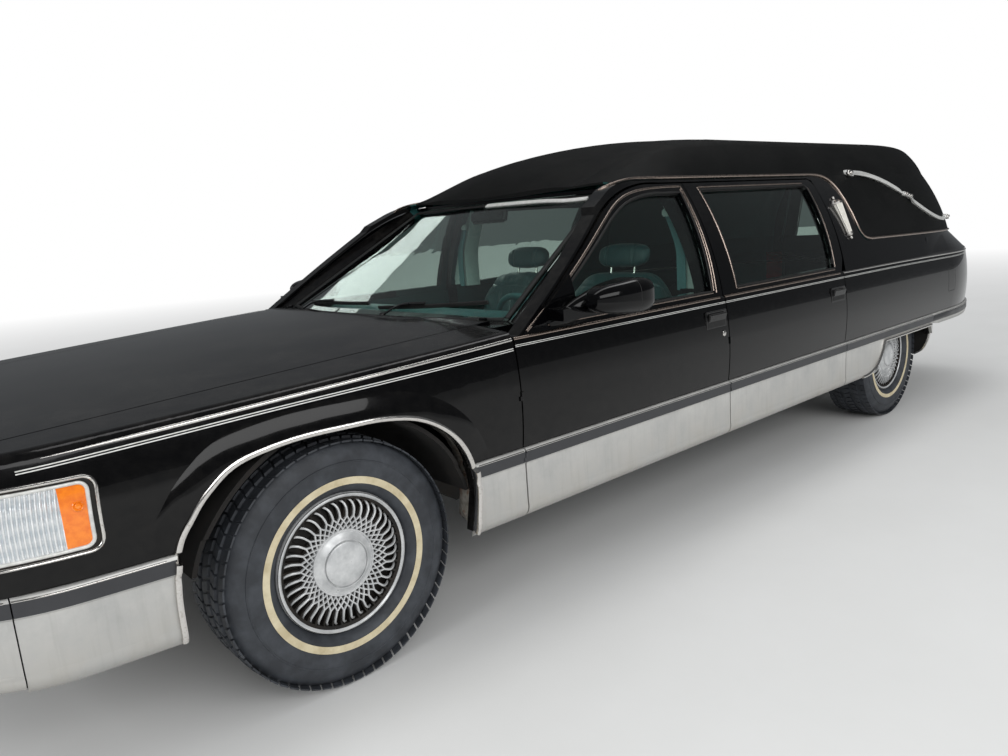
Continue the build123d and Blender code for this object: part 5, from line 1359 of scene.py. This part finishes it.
# %% Raised sides and the guard
SIDE_FOOT, DEEP_FOOT = 0.497, 0.33
RISE_FROM, RISE_TO = 0.50, 0.64
GUARD_X, GUARD_T, GUARD_INNER_Y = -1.988, 0.008, 0.80
GUARD = [(0.964, 0.520), (0.964, 0.460), (0.952, 0.395), (0.922, 0.340), (0.880, 0.312)]
GUARD_EDGE = [(0.006, -0.004), (0.006, 0.005), (-0.016, 0.004), (-0.016, -0.004)]


def step_up(value, low, high):
    """0 below low, 1 above high, and a soft step between."""
    t = min(max((value - low) / (high - low), 0.0), 1.0)
    return t * t * (3 - 2 * t)


bumper = merged("rear_bumper")
for v in bumper.verts:
    if v.co.z < STRIP_LOW - 0.001:
        raised = STRIP_LOW - (STRIP_LOW - v.co.z) / (STRIP_LOW - DEEP_FOOT) * (STRIP_LOW - SIDE_FOOT)
        v.co.z += (raised - v.co.z) * step_up(abs(v.co.y), RISE_FROM, RISE_TO)
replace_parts(piece("rear_bumper_cover", bumper, "cladding", "root"), "rear_bumper")
edge = curve_through([Vector((GUARD_X, y, z)) for y, z in GUARD], 0.02)
guard = bmesh.new()
for x in (GUARD_X, GUARD_X - GUARD_T):
    rows = [[guard.verts.new((x, y, p.z)) for y in (p.y, GUARD_INNER_Y)] for p in edge]
    for one, two in zip(rows, rows[1:]):
        guard.faces.new((one[0], two[0], two[1], one[1]))
both("arch_return_rear", guard, "liner")
hits = []
for i, p in enumerate(edge):
    along = edge[min(i + 1, len(edge) - 1)] - edge[max(i - 1, 0)]
    hits.append((p, Vector((0, -along.z, along.y)).normalized()))
strips("arch_return_edge_rear", "chrome", hits, section=GUARD_EDGE)
print("rear bumper and guards")

# %% [markdown]
# ## Windscreen edge and wipers
# A black edge follows the glass, and the bright moulding along its top has come loose, as in
# the photograph. Each wiper is a turned pivot, an arm that rises and bends over, and a rubber
# blade on the glass. The rays here come from the front.

# %% Windscreen
screen = skin_of("windshield")


def on_screen(y, z):
    return first_hit(screen, Vector((3.0, y, z)), Vector((-1, 0, 0)))


def screen_hits(path, step=0.04):
    return [on_screen(p.y, p.z) for p in curve_through([Vector((0, y, z)) for y, z in path], step)]


TOP_EDGE = [(-0.635, 1.378), (-0.3, 1.379), (0.3, 1.379), (0.635, 1.378)]
FOOT_EDGE = [(-0.78, 0.968), (-0.3, 0.968), (0.3, 0.968), (0.78, 0.968)]
SIDE_EDGE = [(0.786, 0.970), (0.714, 1.17), (0.642, 1.376)]
LOOSE = [(0.03, 1.3745), (0.20, 1.3740), (0.38, 1.3715), (0.50, 1.3650), (0.60, 1.3660)]
WAVE = [(0.009, 0.0), (0.009, 0.004), (0.003, 0.0075), (-0.004, 0.005), (-0.010, 0.007), (-0.010, 0.0)]
strip("screen_edge_top", "rubber", "root", screen_hits(TOP_EDGE), 0.022, 0.004)
strip("screen_edge_foot", "rubber", "root", screen_hits(FOOT_EDGE), 0.016, 0.004)
strips("screen_edge_side", "rubber", screen_hits(SIDE_EDGE), 0.022, 0.005)
strip("screen_moulding_loose", "satin", "root", screen_hits(LOOSE, 0.02), section=WAVE)
print("windscreen edges laid")

# %% Wipers
BLADE = [(0.004, 0.001), (0.004, 0.012), (0.0015, 0.016), (-0.0015, 0.016), (-0.004, 0.012), (-0.004, 0.001)]
ARM = [(0.006, -0.003), (0.006, 0.003), (-0.006, 0.003), (-0.006, -0.003)]
PIVOT = [(0.013, -0.012), (0.013, 0.004), (0.009, 0.010), (0.0, 0.011)]
WIPERS = {
    "wiper_near": ([(0.66, 1.012), (0.40, 1.000), (0.14, 0.992)], (1.462, 0.20, 0.974)),
    "wiper_far": ([(0.04, 1.004), (-0.24, 0.998), (-0.52, 0.992)], (1.500, -0.42, 0.972)),
}
for stem, (path, pivot) in WIPERS.items():
    strip(f"{stem}_blade", "rubber", "root", screen_hits(path, 0.03), section=BLADE)
    middle, normal = on_screen(*path[1])
    middle, pivot = middle + normal * 0.022, Vector(pivot)
    bend = (pivot + middle) / 2 + Vector((0.012, 0, 0.018))
    hits = [(p, normal) for p in curve_through([pivot, bend, middle], 0.02)]
    strip(f"{stem}_arm", "black_plastic", "root", hits, section=ARM)
    knob = lathe(PIVOT, 20, closed=False)
    knob.transform(Matrix.Translation(pivot) @ Matrix.Rotation(pi / 2, 4, "X"))
    piece(f"{stem}_pivot", knob, "black_plastic", "root")
print("wipers:", list(WIPERS))

# %% [markdown]
# ## Cabin fittings
# The inside mirror hangs under the windscreen's top edge. The post between the doors has a
# light teal cover, and the seat belt hangs in front of it from a guide. The cover is a ring of
# points at each height, so its inner edge can bend in with the roof.

# %% Inside mirror, post cover and belt
# Two corners, bevel, lean in degrees and finish.
INNER_MIRROR = {
    "inner_mirror": ((0.690, -0.125, 1.295), (0.722, 0.125, 1.358), 0.014, -12, "black_plastic"),
    "inner_mirror_glass": ((0.687, -0.113, 1.302), (0.692, 0.113, 1.352), 0.002, -12, "mirror"),
    "inner_mirror_stalk": ((0.705, -0.012, 1.345), (0.730, 0.012, 1.392), 0.005, 0, "black_plastic"),
}
for stem, (low, high, bevel, lean, key) in INNER_MIRROR.items():
    piece(stem, soft_box(low, high, bevel, lean=("Y", lean)), key, "root")
POST_FOOT, POST_TALL, POST_STEPS = 0.955, 0.42, 14
WEB = [(0.023, 0.0), (0.023, 0.0016), (-0.023, 0.0016), (-0.023, 0.0)]
post_rings, belt_run = [], []
for i in range(POST_STEPS + 1):
    z = POST_FOOT + POST_TALL * i / POST_STEPS
    y0 = 0.722 - 0.085 * step_up(z, 1.10, 1.40)
    y1 = 0.838 - 0.10 * step_up(z, 1.0, 1.42)
    outline = ((0.176, y1), (0.182, y0 + 0.016), (0.196, y0), (0.252, y0), (0.276, y0 + 0.014), (0.290, y1))
    post_rings.append([Vector((x, y, z)) for x, y in outline])
    belt_run.append(Vector((0.292, y0 + 0.044, z)))
both("post_trim", ringed(post_rings), "trim_light")
strips("seat_belt", "belt_web", [(p, Vector((1, 0, 0))) for p in belt_run[:12]], section=WEB)
guide = belt_run[11]
guide_low, guide_high = guide + Vector((-0.006, -0.032, -0.012)), guide + Vector((0.014, 0.032, 0.020))
both("belt_guide", soft_box(guide_low, guide_high, 0.006), "trim_light")
print("cabin fittings")

# %% [markdown]
# ## Seats
# Each front seat is a cushion, a leaning back and a head pillow in teal leather over foam. They
# could be sculpted by hand. Here each starts as a closed form with round corners, and cloth
# pressure swells it as foam does under leather. No point may travel further than a cap. The
# sewn channels and welts are drawn in afterwards, so that the swelling doesn't smooth them out.

# %% Forms and swelling
PAD_VOXEL, PAD_CAP = 0.011, 0.014
FRAMES, PRESSURE = 20, 4.0


def pillow_form(half, power, cuts=10):
    """A box with rounded corners about the origin: the higher the power, the squarer it is."""
    bm = bmesh.new()
    bmesh.ops.create_cube(bm, size=2.0)
    bmesh.ops.subdivide_edges(bm, edges=bm.edges, cuts=cuts, use_grid_fill=True)
    for v in bm.verts:
        a, b, c = (abs(n) for n in v.co)
        k = max(a, b, c) / (a**power + b**power + c**power) ** (1 / power)
        v.co = Vector([n * k * h for n, h in zip(v.co, half)])
    return bm


def evaluated(holder):
    """The object as its modifiers leave it."""
    return holder.evaluated_get(bpy.context.evaluated_depsgraph_get())


def cloth_ends(holder):
    """Where the points of a holder's mesh are after cloth pressure."""
    scene = bpy.context.scene
    cloth = holder.modifiers.new("cloth", "CLOTH")
    cloth.settings.use_pressure = True
    cloth.settings.uniform_pressure_force = PRESSURE
    cloth.settings.effector_weights.gravity = 0.0
    cloth.settings.quality = 4
    for number in range(1, FRAMES + 1):
        scene.frame_set(number)
    ends = [v.co.copy() for v in evaluated(holder).data.vertices]
    holder.modifiers.clear()
    scene.frame_set(1)
    return ends


def swollen(mesh, cap, floor_z):
    """Voxel remesh, cloth pressure, each point's travel capped, one subdivision."""
    holder = bpy.data.objects.new("pad", mesh)
    bpy.context.scene.collection.objects.link(holder)
    remesh = holder.modifiers.new("remesh", "REMESH")
    remesh.mode = "VOXEL"
    remesh.voxel_size = PAD_VOXEL
    bpy.context.view_layer.update()
    start = bpy.data.meshes.new_from_object(evaluated(holder))
    holder.modifiers.clear()
    holder.data = start
    ends = cloth_ends(holder)
    for v, end in zip(start.vertices, ends):
        travel = end - v.co
        v.co += travel * min(1.0, cap / max(travel.length, 1e-9))
        v.co.z = max(v.co.z, floor_z)
    holder.modifiers.new("smooth", "SUBSURF").levels = 1
    bpy.context.view_layer.update()
    made = bpy.data.meshes.new_from_object(evaluated(holder))
    bpy.data.objects.remove(holder)
    return made


def seat_pad(stem, half, power, place_at, depth_at, floor_z, cap=PAD_CAP):
    """One padded piece on each seat. depth_at says how far a seam pulls a point in."""
    bm = pillow_form(half, power)
    for v in bm.verts:
        v.co = place_at(v.co)
    mesh = bpy.data.meshes.new(stem)
    bm.to_mesh(mesh)
    bm.free()
    mesh = swollen(mesh, cap, floor_z)
    pulls = [(v, v.normal * depth_at(v.co, v.normal)) for v in mesh.vertices]
    for v, pull in pulls:
        v.co -= pull
    for half_seat in both(stem, mesh, "leather"):
        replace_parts(half_seat, "front_bench")
    print(stem, len(mesh.polygons), "faces")


print("pads are remeshed at", PAD_VOXEL * 1000, "mm")

# %% Where each form stands, and where its seams run
SEAT_Y = (0.012, 0.662)
mid_y = (SEAT_Y[0] + SEAT_Y[1]) / 2
half_y = (SEAT_Y[1] - SEAT_Y[0]) / 2 - 0.012
CHANNEL_PITCH, CHANNEL_DEEP, CHANNEL_WIDE = 0.092, 0.0065, 0.007


def groove(distance, width):
    return math.exp(-((distance / width) ** 2))


def channels(p):
    """Four sewn lines that run along the seat, as a depth."""
    away = min(abs(p.y - mid_y - k * CHANNEL_PITCH) for k in (-1.5, -0.5, 0.5, 1.5))
    return CHANNEL_DEEP * groove(away, CHANNEL_WIDE)


def place_cushion(p):
    """The sides rise into low bolsters, and the front edge rolls down."""
    bolster = 0.020 * step_up(abs(p.y), 0.19, 0.28) * step_up(p.z, -0.02, 0.05)
    nose = -0.014 * step_up(p.x, 0.12, 0.25)
    return Vector((0.575 + p.x, mid_y + p.y, 0.486 + p.z + bolster + nose))


def cushion_seams(p, normal):
    inside = step_up(normal.z, 0.3, 0.7) * step_up(p.x, 0.34, 0.40) * step_up(0.80 - p.x, 0.0, 0.05)
    welt = groove(p.z - 0.505, 0.006) * step_up(1 - abs(normal.z), 0.4, 0.8)
    return channels(p) * inside + 0.004 * welt


def place_back(p):
    """The back leans to the rear and narrows into round shoulders."""
    shoulder = 1.0 - 0.16 * step_up(p.z, 0.10, 0.24)
    bolster = 0.022 * step_up(abs(p.y), 0.17, 0.27) * step_up(p.x, 0.0, 0.05) * step_up(0.20 - p.z, 0.0, 0.1)
    thin = 1.0 - 0.18 * step_up(p.z, 0.0, 0.24)
    lean = -0.205 * (p.z + 0.235)
    return Vector((0.268 + lean + p.x * thin + bolster, mid_y + p.y * shoulder, 0.785 + p.z))


def back_seams(p, normal):
    inside = step_up(normal.x, 0.3, 0.7) * step_up(p.z, 0.60, 0.66) * step_up(0.955 - p.z, 0.0, 0.05)
    yoke = groove(p.z - 0.962, 0.007) * step_up(normal.x, 0.3, 0.7)
    middle = 0.268 - 0.205 * (p.z - 0.53)
    welt = groove(p.x - middle - 0.012, 0.006) * step_up(1 - abs(normal.x), 0.5, 0.85)
    return channels(p) * inside + 0.005 * yoke + 0.004 * welt


def place_rest(p):
    return Vector((0.156 - 0.2 * p.z + p.x, mid_y + p.y, 1.102 + p.z))


def rest_seams(p, normal):
    return 0.004 * groove(abs(p.y - mid_y) - 0.085, 0.006) * step_up(normal.x, 0.2, 0.6)


print("each seat is", round(2 * half_y, 3), "m wide")

# %% Seats
seat_pad("seat_cushion", (0.243, half_y, 0.058), 5.0, place_cushion, cushion_seams, 0.421)
seat_pad("seat_back", (0.056, half_y - 0.004, 0.250), 5.0, place_back, back_seams, 0.43)
seat_pad("head_rest", (0.042, 0.148, 0.056), 3.2, place_rest, rest_seams, 0.9, 0.010)
upright = Matrix.Rotation(radians(-11), 4, "Y") @ Matrix.Rotation(pi / 2, 4, "X")
for i, y in enumerate((0.265, 0.409)):
    post = lathe([(0.006, -0.045), (0.006, 0.045)], 16, closed=False)
    post.transform(Matrix.Translation((0.168, y, 1.035)) @ upright)
    both(f"head_rest_post{i}", post, "chrome")

# %% [markdown]
# ## Floor and light
# The floor is pale concrete. Seen by the camera it brightens evenly to the white background,
# which hides the horizon. A large lamp over each side gives long soft highlights on the black
# panels. The world is white to the camera, but dim to mirror rays, or the paint would look grey.

# %% Floor
FLOOR_HALF, FADE_FROM, FADE_TO = 40.0, 4.5, 17.0


def pale_floor():
    made, add, shader, coords = surface("floor_pale_concrete", "#d9d9d8", 0.8)
    cloud = add(NOISE, {"Vector": coords, "Scale": per_metre(833), "Detail": 5.0, "Roughness": 0.6})
    wire(shader, {"Base Color": add(MIX, {0: cloud, 6: "#dcdcdb", 7: "#d0d0ce"}, 2, data_type="RGBA")})
    away = add("ShaderNodeVectorMath", {0: coords}, "Value", operation="LENGTH")
    seen = add("ShaderNodeLightPath", out="Is Camera Ray")
    white = add("ShaderNodeEmission", {"Color": "#ffffff", "Strength": 1.0})
    share = add(MATHS, {0: seen, 1: add(RANGE, {0: away, 1: FADE_FROM, 2: FADE_TO})}, operation="MULTIPLY")
    show(made, add("ShaderNodeMixShader", {0: share, 1: shader.outputs[0], 2: white}))
    return made


M["floor"] = pale_floor()
grid = bmesh.new()
bmesh.ops.create_grid(grid, x_segments=8, y_segments=8, size=FLOOR_HALF)
floor = bpy.data.objects.new("floor", mesh_of(grid, "floor", "floor"))
bpy.context.scene.collection.objects.link(floor)
floor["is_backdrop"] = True
print("floor", 2 * FLOOR_HALF, "m wide")

# %% Lamps and world
# Where a lamp hangs, what it looks at, its size and its power in watts.
AREA_LAMPS = {
    "key": ((2.0, 7.5, 4.2), (0.0, 0.0, 0.6), (8.0, 3.4), 300.0),
    "front": ((8.5, 1.0, 3.4), (1.5, 0.0, 0.6), (4.4, 2.4), 150.0),
    "top": ((-0.5, 0.0, 6.5), (-0.5, 0.0, 0.0), (7.5, 1.6), 90.0),
    "far_side": ((-1.0, -7.5, 4.0), (0.0, 0.0, 0.6), (6.0, 2.0), 160.0),
}
for name, (at, aim, size, power) in AREA_LAMPS.items():
    data = bpy.data.lights.new(name, "AREA")
    data.shape = "RECTANGLE"
    data.size, data.size_y = size
    data.energy = power
    lamp = bpy.data.objects.new(name, data)
    lamp.location = at
    lamp.rotation_euler = (Vector(aim) - Vector(at)).to_track_quat("-Z", "Y").to_euler()
    bpy.context.scene.collection.objects.link(lamp)
bpy.data.objects["far_side"].visible_glossy = False

world = bpy.data.worlds.new("studio")
bpy.context.scene.world = world
world.use_nodes = True
world.node_tree.nodes.clear()
add = partial(node, world.node_tree)
backdrop = add("ShaderNodeBackground", {"Color": "#ffffff", "Strength": 1.0})
fill = add("ShaderNodeBackground", {"Color": "#e8eaec", "Strength": 0.85})
dim = add("ShaderNodeBackground", {"Color": "#c6cace", "Strength": 0.2})
glossy, seen = (add("ShaderNodeLightPath", out=ray) for ray in ("Is Glossy Ray", "Is Camera Ray"))
unseen = add("ShaderNodeMixShader", {0: glossy, 1: fill, 2: dim})
add("ShaderNodeOutputWorld", {"Surface": add("ShaderNodeMixShader", {0: seen, 1: unseen, 2: backdrop})})
print(len(AREA_LAMPS), "lamps")

# %% [markdown]
# ## Sizes
# The box of the shown pieces is printed, so that a piece that strays outside the frame can be
# found.

# %% Sizes
low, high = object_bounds()
print("shown from", tuple(low), "to", tuple(high))
